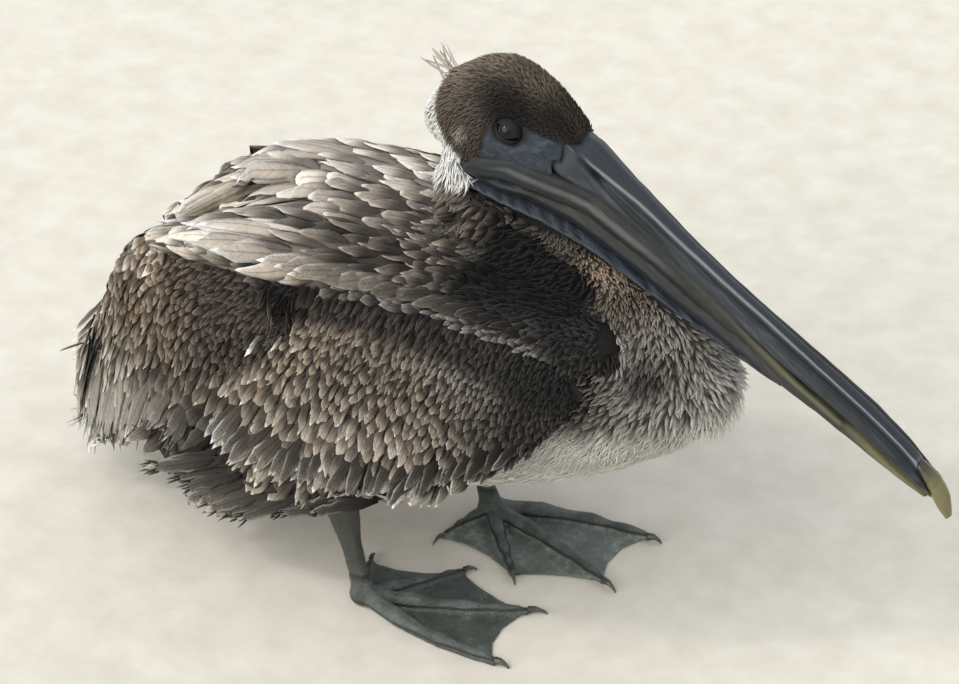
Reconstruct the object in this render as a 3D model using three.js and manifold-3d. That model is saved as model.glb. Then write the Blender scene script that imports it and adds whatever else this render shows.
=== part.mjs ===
// A young brown pelican at rest, life size, in millimetres.
// It stands on both feet with its wings folded and its neck drawn back, and its bill lies along the breast.
// +X is the way the bird faces, +Y is its left side, +Z is up, and the floor is the plane z = 0.
import * as THREE from "three";
import { mergeVertices } from "three/addons/utils/BufferGeometryUtils.js";
import Module from "manifold-3d";

const wasm = await Module();
wasm.setup();

// ---- Driving dimensions ----
const SIDES = { right: -1, left: 1 };
const GAP = 0.3; // clearance between neighbouring solids
const PANEL_GAP = 0.6; // the same round a wing's panels, whose slanting edges need more
const WINGS = {
  // the left arm and hand are folded a little further back
  right: { side: SIDES.right, back: 0 },
  left: { side: SIDES.left, back: 8 },
};
const UPRIGHT_HEIGHT = 95; // a wing's panel is flatter and more upright where its height is less than this
const MIDDLE_GAP = 1.5; // least distance of a wing from the bird's middle plane
const DEEPEST_SHARE = 0.25; // a wing panel's greatest thickness, as a share of its height there
const LEAST_HALF = 0.5; // least half width or height of a rounded section
const BILL_SLOPE = THREE.MathUtils.degToRad(38.2); // how far the head is tipped down
const FOREHEAD = new THREE.Vector3(112, 0, 340); // where the culmen leaves the feathers
const EYE = { s: -32.4, side: 21, n: -28, radius: 8 }; // in the head's own directions
const STANCE = {
  // where each foot stands: y is measured outwards, and turn swings the toes towards the midline
  right: { side: SIDES.right, ankle: [-29, 61, 74], joint: [-7, 69, 9], turn: 4 },
  left: { side: SIDES.left, ankle: [-7, 56, 74], joint: [15, 53, 9], turn: -2 },
};
const TOES = [
  // angle from straight ahead towards the midline, length and outward bow without the claw, radius at the root,
  // and how far the web up to the next toe draws back from their tips, as a share of their length
  { name: "hind", angle: 110, length: 42, bow: -2, root: 4.4, claw: 10, slack: 0.13 },
  { name: "inner", angle: 51, length: 70, bow: 0, root: 5.2, claw: 10, slack: 0.04 },
  { name: "middle", angle: 19, length: 104, bow: 3, root: 6.0, claw: 13, slack: 0.08 },
  { name: "outer", angle: -12, length: 105, bow: 6, root: 6.4, claw: 10 },
];
const TOE_STATIONS = [0, 0.15, 0.3, 0.46, 0.62, 0.74, 0.86, 1]; // shares of a toe's length
const TOE_JOINTS = [0.3, 0.62, 0.86]; // where a toe thickens
const WEB = { thickness: 1.8, lift: 0.35 }; // it hangs just clear of the floor
const HEEL = { radius: 9.5, height: 6.5 };

const PAINT = {
  brown: [0x6b5c4e, 0.9],
  dark_brown: [0x4a3f36, 0.9],
  grey_brown: [0x857667, 0.9],
  white: [0xd9d3c6, 0.95],
  slate: [0x3b424a, 0.5],
  pouch: [0x39465a, 0.6],
  horn: [0x8c8a55, 0.4],
  leather: [0x454c48, 0.7],
  eye: [0x10100f, 0.1],
};

// ---- Shape helpers ----

/** A closed geometry from rings of points that have equal counts; each end closes on the middle of its ring. */
function loft(rings) {
  const sides = rings[0].length;
  const middle = (ring) =>
    ring.reduce((sum, p) => sum.add(p), new THREE.Vector3()).divideScalar(sides);
  const points = [...rings.flat(), middle(rings[0]), middle(rings.at(-1))];
  const first = rings.length * sides;
  const index = [];
  for (let i = 0; i < rings.length - 1; i += 1)
    for (let j = 0; j < sides; j += 1) {
      const a = i * sides + j;
      const b = i * sides + ((j + 1) % sides);
      index.push(a, b, a + sides, b, b + sides, a + sides);
    }
  for (let j = 0; j < sides; j += 1) {
    const k = (j + 1) % sides;
    const last = (rings.length - 1) * sides;
    index.push(first, k, j, first + 1, last + j, last + k);
  }
  return new THREE.BufferGeometry().setFromPoints(points).setIndex(index);
}

/** A manifold solid from any closed geometry, turned so that it faces outwards. */
function solid(geometry) {
  const bare = geometry.clone();
  for (const name of ["normal", "uv"]) if (bare.getAttribute(name)) bare.deleteAttribute(name);
  const merged = mergeVertices(bare, 1e-3);
  const position = merged.getAttribute("position");
  const triangles = merged.index.array;
  const corner = (k) => new THREE.Vector3().fromBufferAttribute(position, k);
  let volume = 0;
  for (let i = 0; i < triangles.length; i += 3) {
    const [a, b, c] = [0, 1, 2].map((k) => corner(triangles[i + k]));
    volume += a.dot(b.cross(c));
  }
  const kept = [];
  for (let i = 0; i < triangles.length; i += 3) {
    const [a, b, c] = triangles.slice(i, i + 3);
    if (a === b || b === c || c === a) continue;
    kept.push(...(volume > 0 ? [a, b, c] : [a, c, b]));
  }
  return new wasm.Manifold(
    new wasm.Mesh({
      numProp: 3,
      vertProperties: new Float32Array(position.array),
      triVerts: new Uint32Array(kept),
    }),
  );
}

/** A solid's largest body, so that a cut leaves no loose slivers and a join no sealed pockets. */
function largest(made) {
  return made.decompose().reduce((best, body) => (body.volume() > best.volume() ? body : best));
}

/** The first solid with every other one taken away. */
function cut(whole, ...tools) {
  return largest(tools.reduce((rest, tool) => rest.subtract(tool), whole));
}

/** The first solid with every other one joined on. */
function join(whole, ...others) {
  return others.reduce((sum, other) => sum.add(other), whole);
}

/** A smooth curve through rows of three numbers. */
const through = (rows) => new THREE.CatmullRomCurve3(rows.map((row) => new THREE.Vector3(...row)));

const bulge = (x, power) => Math.sign(x) * Math.abs(x) ** (2 / power);

/**
 * A body of rounded sections along a smooth spine. Each station is [x, y, z, half width, above, below].
 * Upright sections stay in planes of constant x, which grows along the spine. The others turn with the spine.
 */
function sweep(stations, options = {}) {
  const { steps = 16, round = 12, grow = 0, upright = false, side, power = 2, floor = false } = options;
  const spine = through(stations.map((s) => s.slice(0, 3)));
  const sizes = through(stations.map((s) => s.slice(3)));
  const up = new THREE.Vector3(0, 0, 1);
  const rings = [];
  for (let i = 0; i <= steps; i += 1) {
    const t = i / steps;
    const along = upright ? new THREE.Vector3(1, 0, 0) : spine.getTangent(t);
    const across = side
      ? new THREE.Vector3(...side)
      : new THREE.Vector3().crossVectors(up, along).normalize();
    const rise = new THREE.Vector3().crossVectors(along, across).normalize();
    const end = i === 0 ? -grow : i === steps ? grow : 0;
    const centre = spine.getPoint(t).addScaledVector(along, end);
    const size = sizes.getPoint(t);
    const ring = [];
    for (let j = 0; j < round; j += 1) {
      const angle = (2 * Math.PI * j) / round;
      const [c, s] = [bulge(Math.cos(angle), power), bulge(Math.sin(angle), power)];
      const height = Math.max(LEAST_HALF, s > 0 ? size.y : size.z) + grow;
      const point = centre
        .clone()
        .addScaledVector(across, c * (Math.max(LEAST_HALF, size.x) + grow))
        .addScaledVector(rise, s * height);
      if (floor) point.z = Math.max(0, point.z);
      ring.push(point);
    }
    rings.push(ring);
  }
  return solid(loft(rings));
}

/** A thick sheet: outer(u, v) is its outside point, and it is thick(u, v) deep along inwards(u, v). */
function slab(outer, inwards, thick, { across = 14, down = 8, grow = 0 } = {}) {
  const rings = [];
  for (let i = 0; i <= across; i += 1) {
    const u = i / across;
    const front = [];
    const back = [];
    for (let j = 0; j <= down; j += 1) {
      const v = j / down;
      const away = inwards(u, v).normalize();
      const end = i === 0 ? grow : i === across ? -grow : 0;
      const drop = j === 0 ? grow : j === down ? -grow : 0;
      const point = outer(u, v);
      point.x += end;
      point.z += drop;
      front.push(point.clone().addScaledVector(away, -grow));
      back.push(point.clone().addScaledVector(away, thick(u, v) + grow));
    }
    rings.push([...front, ...back.reverse()]);
  }
  return solid(loft(rings));
}

/** The value at x of a smooth curve through keyed pairs [key, value]. */
function between(pairs, x) {
  if (x <= pairs[0][0]) return pairs[0][1];
  if (x >= pairs.at(-1)[0]) return pairs.at(-1)[1];
  const i = pairs.findIndex(([key]) => x < key);
  const rise = (a, b) => (pairs[b][1] - pairs[a][1]) / (pairs[b][0] - pairs[a][0]);
  const slope = (k) => rise(Math.max(k - 1, 0), Math.min(k + 1, pairs.length - 1));
  const width = pairs[i][0] - pairs[i - 1][0];
  const t = (x - pairs[i - 1][0]) / width;
  return (
    pairs[i - 1][1] * (1 + 2 * t) * (1 - t) ** 2 +
    pairs[i][1] * t * t * (3 - 2 * t) +
    width * (slope(i - 1) * t * (1 - t) ** 2 + slope(i) * t * t * (t - 1))
  );
}

const bird = new THREE.Group();

/** Adds a solid to the bird as a named mesh. */
function add(name, made, paint) {
  const { vertProperties, numProp, triVerts } = made.getMesh();
  const position = new Float32Array((vertProperties.length / numProp) * 3);
  for (let i = 0; i < position.length / 3; i += 1)
    position.set(vertProperties.subarray(i * numProp, i * numProp + 3), i * 3);
  const geometry = new THREE.BufferGeometry()
    .setAttribute("position", new THREE.BufferAttribute(position, 3))
    .setIndex(new THREE.BufferAttribute(new Uint32Array(triVerts), 1));
  geometry.computeVertexNormals();
  const [color, roughness] = PAINT[paint];
  const mesh = new THREE.Mesh(
    geometry,
    new THREE.MeshStandardMaterial({ color, roughness, metalness: 0, flatShading: true }),
  );
  mesh.name = name;
  bird.add(mesh);
}

// ---- Head and bill, in the head's own directions: s runs along the bill, n is square to it and up ----

const ALONG = new THREE.Vector3(Math.cos(BILL_SLOPE), 0, -Math.sin(BILL_SLOPE));
const OVER = new THREE.Vector3(Math.sin(BILL_SLOPE), 0, Math.cos(BILL_SLOPE));

/** A point of the bird from the head's own directions. */
function headPoint(s, y, n) {
  return FOREHEAD.clone().addScaledVector(ALONG, s).addScaledVector(OVER, n).setY(y);
}

/** Rows [s, top, bottom, half width] of the head as stations, centred at the share `waist` of the height. */
function headStations(rows, waist) {
  return rows.map(([s, top, bottom, half]) => {
    const n = THREE.MathUtils.lerp(bottom, top, waist);
    return [...headPoint(s, 0, n).toArray(), half, top - n, n - bottom];
  });
}

/** A body of sections that all stay square to the bill. */
function headBody(rows, { waist, steps, round, grow = 0 }) {
  const stations = headStations(rows, waist);
  const spine = through(stations.map((s) => s.slice(0, 3)));
  const sizes = through(stations.map((s) => s.slice(3)));
  const rings = [];
  for (let i = 0; i <= steps; i += 1) {
    const t = i / steps;
    const centre = spine.getPoint(t).addScaledVector(ALONG, i === 0 ? -grow : i === steps ? grow : 0);
    const size = sizes.getPoint(t);
    const ring = [];
    for (let j = 0; j < round; j += 1) {
      const angle = (2 * Math.PI * j) / round;
      const [c, s] = [Math.cos(angle), Math.sin(angle)];
      const height = Math.max(LEAST_HALF, s > 0 ? size.y : size.z) + grow;
      ring.push(
        centre
          .clone()
          .addScaledVector(OVER, s * height)
          .setY(c * (Math.max(LEAST_HALF, size.x) + grow)),
      );
    }
    rings.push(ring);
  }
  return solid(loft(rings));
}

const HEAD_ROWS = [
  // s, top, bottom, half width
  [-85, -56, -68, 7],
  [-80, -38, -86, 17],
  [-69, -17, -93, 25],
  [-55, -5, -90, 28.5],
  [-38, 1, -80, 29],
  [-20, 2, -68, 27],
  [-5, -2, -61, 24.5],
  [6, -6, -56, 22],
];

const UPPER_BILL_ROWS = [
  [-6, -4, -40, 20],
  [10, -4, -36, 19],
  [45, -4, -28, 16.5],
  [90, -3, -23, 14.5],
  [130, 0, -17, 14],
  [165, 4, -10, 14],
  [200, 8, -3, 14.5],
  [240, 12, 2, 14.5],
  [272, 12, 3, 12],
  [290, 10, 2, 8],
];

const NAIL_ROWS = [
  [270, 13, 8, 5],
  [284, 14, 3, 7],
  [296, 10, -1, 6],
  [306, 1, -4, 2.5],
];

const LOWER_BILL_ROWS = [
  [-44, -66, -80, 22],
  [-34, -62, -83, 25],
  [-10, -52, -74, 24.5],
  [10, -37, -59, 22],
  [45, -29, -48, 18.5],
  [90, -24, -41, 15.5],
  [130, -18, -34, 14],
  [165, -11, -27, 13.4],
  [200, -4, -18, 13],
  [240, 1, -10, 12.5],
  [272, 2, -5, 9],
  [288, 1, -3, 5],
];

const POUCH_ROWS = [
  [-40, -80, -93, 17],
  [-20, -75, -91, 20],
  [10, -59, -74, 19],
  [50, -47, -58, 15],
  [100, -39, -47, 11],
  [150, -29, -35, 8],
  [185, -22, -26, 5],
];

const upperBill = (grow) => headBody(UPPER_BILL_ROWS, { steps: 12, round: 8, waist: 0.35, grow });
const lowerBill = (grow) => headBody(LOWER_BILL_ROWS, { steps: 12, round: 8, waist: 0.6, grow });
const pouch = (grow) => headBody(POUCH_ROWS, { steps: 8, round: 6, waist: 0.6, grow });
const nail = (grow) => headBody(NAIL_ROWS, { steps: 6, round: 8, waist: 0.5, grow });
const skull = (grow) => headBody(HEAD_ROWS, { steps: 8, round: 12, waist: 0.45, grow });

/** One eyeball. */
function eye(side, grow = 0) {
  const centre = headPoint(EYE.s, side * EYE.side, EYE.n);
  const ball = new THREE.SphereGeometry(EYE.radius + grow, 10, 6);
  ball.translate(centre.x, centre.y, centre.z);
  return solid(ball);
}

function addHead() {
  add("bill_nail", nail(0), "horn");
  add("bill_upper", cut(upperBill(0), nail(GAP)), "slate");
  add("bill_lower", cut(lowerBill(0), upperBill(GAP), nail(GAP)), "slate");
  add("pouch", cut(pouch(0), lowerBill(GAP), upperBill(GAP)), "pouch");
  const openings = [upperBill(GAP), lowerBill(GAP), pouch(GAP)];
  for (const [name, side] of Object.entries(SIDES)) {
    add(`eye_${name}`, eye(side), "eye");
    openings.push(eye(side, GAP));
  }
  add("head", cut(skull(0), ...openings), "brown");
}

// ---- Neck and trunk ----

const UPPER_NECK = [
  [34, 0, 322, 22, 24, 26],
  [29, 0, 300, 22, 24, 25],
  [32, 0, 272, 26, 28, 26],
  [44, 0, 252, 28, 30, 26],
];
const LOWER_NECK = [
  [52, 0, 246, 34, 26, 30],
  [85, 0, 236, 40, 36, 34],
  [120, 0, 220, 44, 42, 38],
  [150, 0, 200, 48, 44, 40],
  [172, 0, 174, 46, 40, 40],
];
const TRUNK = [
  // x, y, z of the widest level, half width, above, below
  [-238, 0, 92, 8, 10, 12],
  [-222, 0, 104, 24, 30, 32],
  [-196, 0, 120, 38, 46, 44],
  [-150, 0, 138, 58, 70, 58],
  [-100, 0, 148, 76, 92, 76],
  [-50, 0, 152, 87, 102, 82],
  [0, 0, 156, 92, 100, 86],
  [50, 0, 164, 92, 92, 85],
  [100, 0, 172, 86, 72, 77],
  [150, 0, 178, 70, 42, 58],
  [185, 0, 182, 52, 30, 38],
  [206, 0, 184, 28, 18, 20],
  [213, 0, 185, 8, 7, 8],
];

const upperNeck = (grow) => sweep(UPPER_NECK, { steps: 4, round: 12, grow, side: [0, 1, 0] });
const lowerNeck = (grow) => sweep(LOWER_NECK, { steps: 5, round: 12, grow, side: [0, 1, 0] });
const trunkForm = (grow) => sweep(TRUNK, { steps: 13, round: 14, grow, upright: true });

// ---- Wings: an upper arm under the long shoulder feathers, a forearm, a hand and inner flight feathers ----

const SHOULDER = [
  [-156, 57, 211, 7, 4, 5],
  [-125, 49, 222, 24, 12, 13],
  [-80, 44, 230, 34, 16, 20],
  [-20, 42, 235, 36, 17, 22],
  [40, 42, 238, 36, 16, 24],
  [95, 43, 235, 35, 16, 24],
  [138, 48, 231, 26, 13, 22],
  [158, 51, 226, 11, 8, 14],
];

const shoulder = ({ side, back }, grow) =>
  sweep(
    SHOULDER.map(([x, y, ...rest]) => [x - back, side * y, ...rest]),
    { steps: 11, round: 10, grow, upright: true, power: 2.3 },
  );

/** A wing panel's outside point: x runs along the panel, and its height and bulge follow keyed profiles. */
function panel({ side, back }, { from, to, top, bottom, reach, belly, lean }) {
  const outer = (u, v) => {
    const x = THREE.MathUtils.lerp(from, to, u);
    const [high, low] = [between(top, x), between(bottom, x)];
    const shape = Math.min(1, (high - low) / UPRIGHT_HEIGHT);
    const y = between(reach, x) + shape * (belly * Math.sin(Math.PI * v) - lean * (1 - v));
    return new THREE.Vector3(x - back, side * y, THREE.MathUtils.lerp(high, low, v));
  };
  const inwards = (u, v) => new THREE.Vector3(0, -side, -0.25 * (1 - v));
  return { outer, inwards };
}

const FOREARM = {
  from: 156,
  to: -150,
  top: [[-150, 150], [-100, 190], [-52, 220], [-10, 233], [40, 238], [95, 236], [136, 228], [156, 213]],
  bottom: [
    [-150, 92], [-100, 92], [-50, 95], [-10, 104], [30, 116], [64, 130], [111, 156], [148, 194], [156, 208],
  ],
  reach: [[-150, 76], [-100, 88], [-40, 98], [40, 102], [110, 98], [145, 86], [156, 76]],
  belly: 8,
  lean: 24,
  root: 26,
  edge: 7,
};
const HAND = {
  from: 20,
  to: -160,
  top: [[-160, 90], [-100, 91], [-50, 94], [-10, 103], [20, 112]],
  bottom: [[-160, 70], [-145, 58], [-112, 51], [-72, 55], [-40, 74], [-10, 92], [20, 106]],
  reach: [[-160, 76], [-100, 88], [-40, 96], [20, 98]],
  belly: 0,
  lean: -2,
  root: 0,
  edge: 5,
};
const TERTIALS = {
  from: -40,
  to: -245,
  top: [[-245, 92], [-237, 118], [-225, 141], [-200, 186], [-150, 222], [-100, 232], [-40, 230]],
  bottom: [[-245, 58], [-237, 44], [-220, 36], [-200, 44], [-170, 64], [-150, 88], [-100, 140], [-40, 200]],
  reach: [[-245, 35], [-220, 50], [-200, 60], [-150, 74], [-100, 82], [-40, 85]],
  belly: 6,
  lean: 24,
  root: 18,
  edge: 7,
};

/** A wing panel, deepest under its upper edge, thin where it is low, and on its own side of the bird. */
function wingPanel(wing, form, options) {
  const { outer, inwards } = panel(wing, form);
  const thick = (u, v) => {
    const x = THREE.MathUtils.lerp(form.from, form.to, u);
    const height = between(form.top, x) - between(form.bottom, x);
    const room = Math.abs(outer(u, v).y) - MIDDLE_GAP;
    return Math.min(form.root * (1 - v) + form.edge, DEEPEST_SHARE * height, room);
  };
  return slab(outer, inwards, thick, options);
}

const forearm = (wing, grow) => wingPanel(wing, FOREARM, { across: 11, down: 4, grow });
const hand = (wing, grow) => wingPanel(wing, HAND, { across: 10, down: 2, grow });
const tertials = (wing, grow) => wingPanel({ ...wing, back: 0 }, TERTIALS, { across: 9, down: 4, grow });

function addWings() {
  for (const [name, wing] of Object.entries(WINGS)) {
    add(`wing_${name}_arm`, shoulder(wing, 0), "grey_brown");
    add(`wing_${name}_forearm`, cut(forearm(wing, 0), shoulder(wing, GAP)), "brown");
    add(
      `wing_${name}_tertials`,
      cut(tertials(wing, 0), shoulder(wing, GAP), forearm(wing, PANEL_GAP)),
      "grey_brown",
    );
    add(
      `wing_${name}_hand`,
      cut(hand(wing, 0), forearm(wing, PANEL_GAP), tertials(wing, PANEL_GAP)),
      "dark_brown",
    );
  }
}

// ---- Tail ----

const TAIL = [
  [-176, 0, 120, 26, 9, 9],
  [-206, 0, 94, 32, 6, 6],
  [-228, 0, 66, 36, 4, 4],
  [-245, 0, 38, 38, 2.2, 2.2],
];
const tail = (grow) => sweep(TAIL, { steps: 4, round: 10, grow, side: [0, 1, 0], power: 3 });

// ---- Legs ----

const legPoint = ({ side }, [x, y, z]) => new THREE.Vector3(x, side * y, z);

/** The feathered lower leg, from inside the belly to just above the ankle. */
function thigh(stance, grow) {
  const [x, y, z] = stance.ankle;
  return sweep(
    [
      [x + 29, stance.side * (y - 8), z + 56, 22, 28, 26],
      [x + 15, stance.side * (y - 4), z + 30, 16, 20, 18],
      [x + 5, stance.side * (y - 1), z + 10, 10, 12, 11],
    ],
    { steps: 4, round: 12, grow, side: [0, 1, 0] },
  );
}

function shank(stance, grow) {
  const [ankle, joint] = [legPoint(stance, stance.ankle), legPoint(stance, stance.joint)];
  const at = (t) => ankle.clone().lerp(joint, t).toArray();
  return sweep(
    [
      [...at(-0.12), 7, 12, 15],
      [...at(0.02), 7.5, 13, 15],
      [...at(0.24), 6.3, 9, 10],
      [...at(0.55), 5.2, 7, 7.5],
      [...at(0.85), 5.6, 7.5, 7.5],
      [...at(0.97), 6, 8, 8],
    ],
    { steps: 5, round: 8, grow, side: [0, 1, 0] },
  );
}

/** The direction of a toe on the floor. */
function toeWay({ side, turn }, { angle }) {
  const swing = THREE.MathUtils.degToRad(angle + turn);
  return new THREE.Vector3(Math.cos(swing), -side * Math.sin(swing), 0);
}

/** The point at the share t of a toe's length, on the floor. */
function toePoint(stance, each, t) {
  const way = toeWay(stance, each);
  const outwards = new THREE.Vector3(-way.y, way.x, 0).multiplyScalar(stance.side);
  return legPoint(stance, stance.joint)
    .setZ(0)
    .addScaledVector(way, t * each.length)
    .addScaledVector(outwards, each.bow * Math.sin(Math.PI * t));
}

function toe(stance, each) {
  const stations = TOE_STATIONS.map((t) => {
    const radius = each.root * (1 - 0.45 * t) * (TOE_JOINTS.includes(t) ? 1.14 : 0.94);
    const { x, y } = toePoint(stance, each, t);
    return [x, y, radius * 0.8 + 2.2 * (1 - t) ** 3, radius, radius, radius];
  });
  return sweep(stations, { steps: 7, round: 6, floor: true });
}

function claw(stance, each) {
  const tip = toePoint(stance, each, 1);
  const way = tip.clone().sub(toePoint(stance, each, 0.93)).normalize();
  const radius = each.root * 0.46;
  const station = (t, z, share) => {
    const { x, y } = tip.clone().addScaledVector(way, 2 * GAP + t * each.claw);
    return [x, y, z, ...Array(3).fill(Math.max(0.6, share * radius))];
  };
  return sweep([station(0.02, 3, 1), station(0.4, 4, 0.8), station(0.8, 2.8, 0.5), station(1, 0.8, 0.2)], {
    steps: 3,
    round: 6,
    floor: true,
  });
}

/** The web between two toes, its free edge drawn in between their tips. */
function web(stance, first, second) {
  const outer = (u, v) => {
    const t = THREE.MathUtils.lerp(0.04, 0.98 - first.slack * Math.sin(Math.PI * u), v);
    return toePoint(stance, first, t)
      .lerp(toePoint(stance, second, t), u)
      .setZ(WEB.lift + WEB.thickness);
  };
  return slab(outer, () => new THREE.Vector3(0, 0, -1), () => WEB.thickness, { across: 3, down: 2 });
}

/** The ball under the ankle, flat where it stands on the floor. */
function heel({ side, joint }, grow = 0) {
  const ball = new THREE.SphereGeometry(HEEL.radius + grow, 10, 6).scale(1, 0.85, 1);
  ball.translate(joint[0], side * joint[1], HEEL.height);
  const position = ball.getAttribute("position");
  for (let i = 0; i < position.count; i += 1) position.setZ(i, Math.max(0, position.getZ(i)));
  return solid(ball);
}

function foot(stance) {
  const webs = TOES.slice(1).map((each, i) => web(stance, TOES[i], each));
  return largest(join(heel(stance), ...TOES.map((each) => toe(stance, each)), ...webs));
}

function addLegs() {
  for (const [name, stance] of Object.entries(STANCE)) {
    add(`foot_${name}`, foot(stance), "leather");
    add(`shank_${name}`, cut(shank(stance, 0), heel(stance, GAP), thigh(stance, GAP)), "leather");
    add(`thigh_${name}`, thigh(stance, 0), "grey_brown");
    for (const each of TOES) add(`claw_${name}_${each.name}`, claw(stance, each), "horn");
  }
}

// ---- Assembly ----

function addBody() {
  const bill = [upperBill(GAP), lowerBill(GAP), pouch(GAP)];
  const wings = Object.values(WINGS).flatMap((wing) => [
    shoulder(wing, GAP),
    forearm(wing, PANEL_GAP),
    tertials(wing, PANEL_GAP),
    hand(wing, PANEL_GAP),
  ]);
  add("neck_upper", cut(upperNeck(0), skull(GAP), ...bill, lowerNeck(GAP), ...wings), "white");
  add("tail", cut(tail(0), ...wings), "dark_brown");
  add("neck_lower", cut(lowerNeck(0), ...bill, ...wings), "grey_brown");
  const thighs = Object.values(STANCE).map((stance) => thigh(stance, GAP));
  add(
    "trunk",
    cut(trunkForm(0), upperNeck(GAP), lowerNeck(GAP), ...bill, ...wings, ...thighs, tail(GAP)),
    "white",
  );
}

addHead();
addWings();
addLegs();
addBody();

// The origin is under the middle of the bird, on the floor.
const box = new THREE.Box3().setFromObject(bird);
const middle = box.getCenter(new THREE.Vector3());
bird.position.set(-middle.x, -middle.y, -box.min.z);

export default bird;
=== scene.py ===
"""A young brown pelican, life size: one skin, its plumage, bill, eyes, legs and claws, round a fixed frame.

Shapes are worked out in the bird's own millimetres: x forwards, y to its left, z up from the floor.
The frame gives the place of the right eye, and every made piece is moved by the same amount as that eye.
"""

import logging
import math
from collections.abc import Callable, Sequence
from dataclasses import dataclass, field
from enum import Enum
from typing import Self

import bmesh
import bpy
import numpy as np
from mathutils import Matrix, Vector
from mathutils.bvhtree import BVHTree


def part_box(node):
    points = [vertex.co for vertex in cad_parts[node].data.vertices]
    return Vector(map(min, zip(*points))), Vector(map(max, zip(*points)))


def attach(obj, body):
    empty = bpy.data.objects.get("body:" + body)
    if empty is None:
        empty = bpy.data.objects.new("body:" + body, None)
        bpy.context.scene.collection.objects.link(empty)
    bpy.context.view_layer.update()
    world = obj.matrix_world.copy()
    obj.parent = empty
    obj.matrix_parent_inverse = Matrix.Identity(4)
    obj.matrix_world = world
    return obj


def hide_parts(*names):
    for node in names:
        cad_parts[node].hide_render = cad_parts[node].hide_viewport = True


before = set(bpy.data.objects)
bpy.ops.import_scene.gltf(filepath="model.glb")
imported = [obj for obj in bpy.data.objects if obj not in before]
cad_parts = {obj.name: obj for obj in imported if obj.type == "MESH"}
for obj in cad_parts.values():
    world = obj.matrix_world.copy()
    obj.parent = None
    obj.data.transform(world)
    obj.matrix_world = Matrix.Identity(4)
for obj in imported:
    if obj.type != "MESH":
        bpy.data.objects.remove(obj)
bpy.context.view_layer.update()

LOG = logging.getLogger("pelican")
Array = np.ndarray
Material = bpy.types.Material
Triple = tuple[float, float, float]

MM = 0.001
EYE_PLACE = (69.2, -21.0, 338.0)  # the right eye's centre, in the bird's millimetres
BILL_SLOPE = math.radians(38.2)  # how far the head is tipped down
FOREHEAD = np.array((112.0, 0.0, 340.0))  # where the ridge of the bill leaves the feathers
ALONG = np.array((math.cos(BILL_SLOPE), 0.0, -math.sin(BILL_SLOPE)))
OVER = np.array((math.sin(BILL_SLOPE), 0.0, math.cos(BILL_SLOPE)))
SEED = 20
TUFT_PATCH = 0.003  # width of a tuft's patch on the bake map
WIDEST_PATCH = 0.009
BRIGHTEST = 0.86  # the palest that a feather gets
STRAYS = 20.0  # a laid feather whose tip misses its place by more millimetres is left out
STAGGER = 2.3  # how much further apart roots are along the feathers than across them
BLEND_CORE = 30.0  # square millimetres round a guide in which its pull is nearly level
BLEND_POWER = 1.7  # how quickly a guide's pull falls off outside them
ABOVE_FLOOR = 0.3  # no feather comes nearer to the floor than this, in millimetres


# ---- Numbers and colours ----


def paint(code: str) -> Array:
    """A linear colour from a display colour.

    Args:
        code: six hexadecimal digits.

    Returns:
        Red, green and blue, linear.
    """
    shown = np.array([int(code[i : i + 2], 16) / 255 for i in (0, 2, 4)])
    return np.where(shown <= 0.04045, shown / 12.92, ((shown + 0.055) / 1.055) ** 2.4)


def rgba(code: str) -> tuple[float, ...]:
    """A display colour as a linear colour with full alpha."""
    return (*map(float, paint(code)), 1.0)


def ease(low: float, high: float, x: Array) -> Array:
    """A smooth step from 0 at low to 1 at high."""
    t = np.clip((x - low) / (high - low), 0.0, 1.0)
    return t * t * (3 - 2 * t)


def bell(x: Array, middle: float | Array, width: float, power: int = 2) -> Array:
    """A hump of height 1 at the middle, flatter on top and steeper at its sides with a higher power."""
    return np.exp(-(((x - middle) / width) ** power))


def unit(v: Array) -> Array:
    """Vectors scaled to length 1."""
    return v / np.maximum(np.linalg.norm(v, axis=-1, keepdims=True), 1e-9)


def frame_shift() -> Array:
    """How far the frame lies from the bird's own origin, in metres."""
    low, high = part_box("eye_right")
    return np.array((low + high) / 2) - np.array(EYE_PLACE) * MM


SHIFT = frame_shift()


def to_world(points: Array) -> Array:
    """The bird's millimetres as the frame's metres."""
    return points * MM + SHIFT


def to_bird(points: Array) -> Array:
    """The frame's metres as the bird's millimetres."""
    return (points - SHIFT) / MM


def middle_of(node: str) -> Array:
    """The middle of a CAD node's box, in the bird's millimetres."""
    return to_bird(np.array(sum(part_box(node), Vector())) / 2)


def head_axes(points: Array) -> tuple[Array, Array, Array]:
    """Points in the head's own directions.

    Args:
        points: places in the bird's millimetres.

    Returns:
        The distance along the bill, outwards from the middle plane, and up square to the bill.
    """
    away = points - FOREHEAD
    return away @ ALONG, np.abs(points[..., 1]), away @ OVER


# ---- Meshes ----


def read(items: bpy.types.bpy_prop_collection, key: str, width: int, kind: type = float) -> Array:
    """Reads one property of a mesh's points, corners or triangles.

    Args:
        items: the mesh's items.
        key: the property.
        width: how many numbers each item has.
        kind: the type of the numbers.

    Returns:
        The numbers, one row for each item.
    """
    out = np.empty(len(items) * width, dtype=kind)
    items.foreach_get(key, out)
    return out.reshape(-1, width)


def node_arrays(name: str) -> tuple[Array, Array]:
    """Reads a CAD node.

    Args:
        name: the node.

    Returns:
        Its vertices, in the bird's millimetres, and its triangles.
    """
    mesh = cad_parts[name].data
    mesh.calc_loop_triangles()
    return to_bird(read(mesh.vertices, "co", 3)), read(mesh.loop_triangles, "vertices", 3, np.int32)


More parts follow.
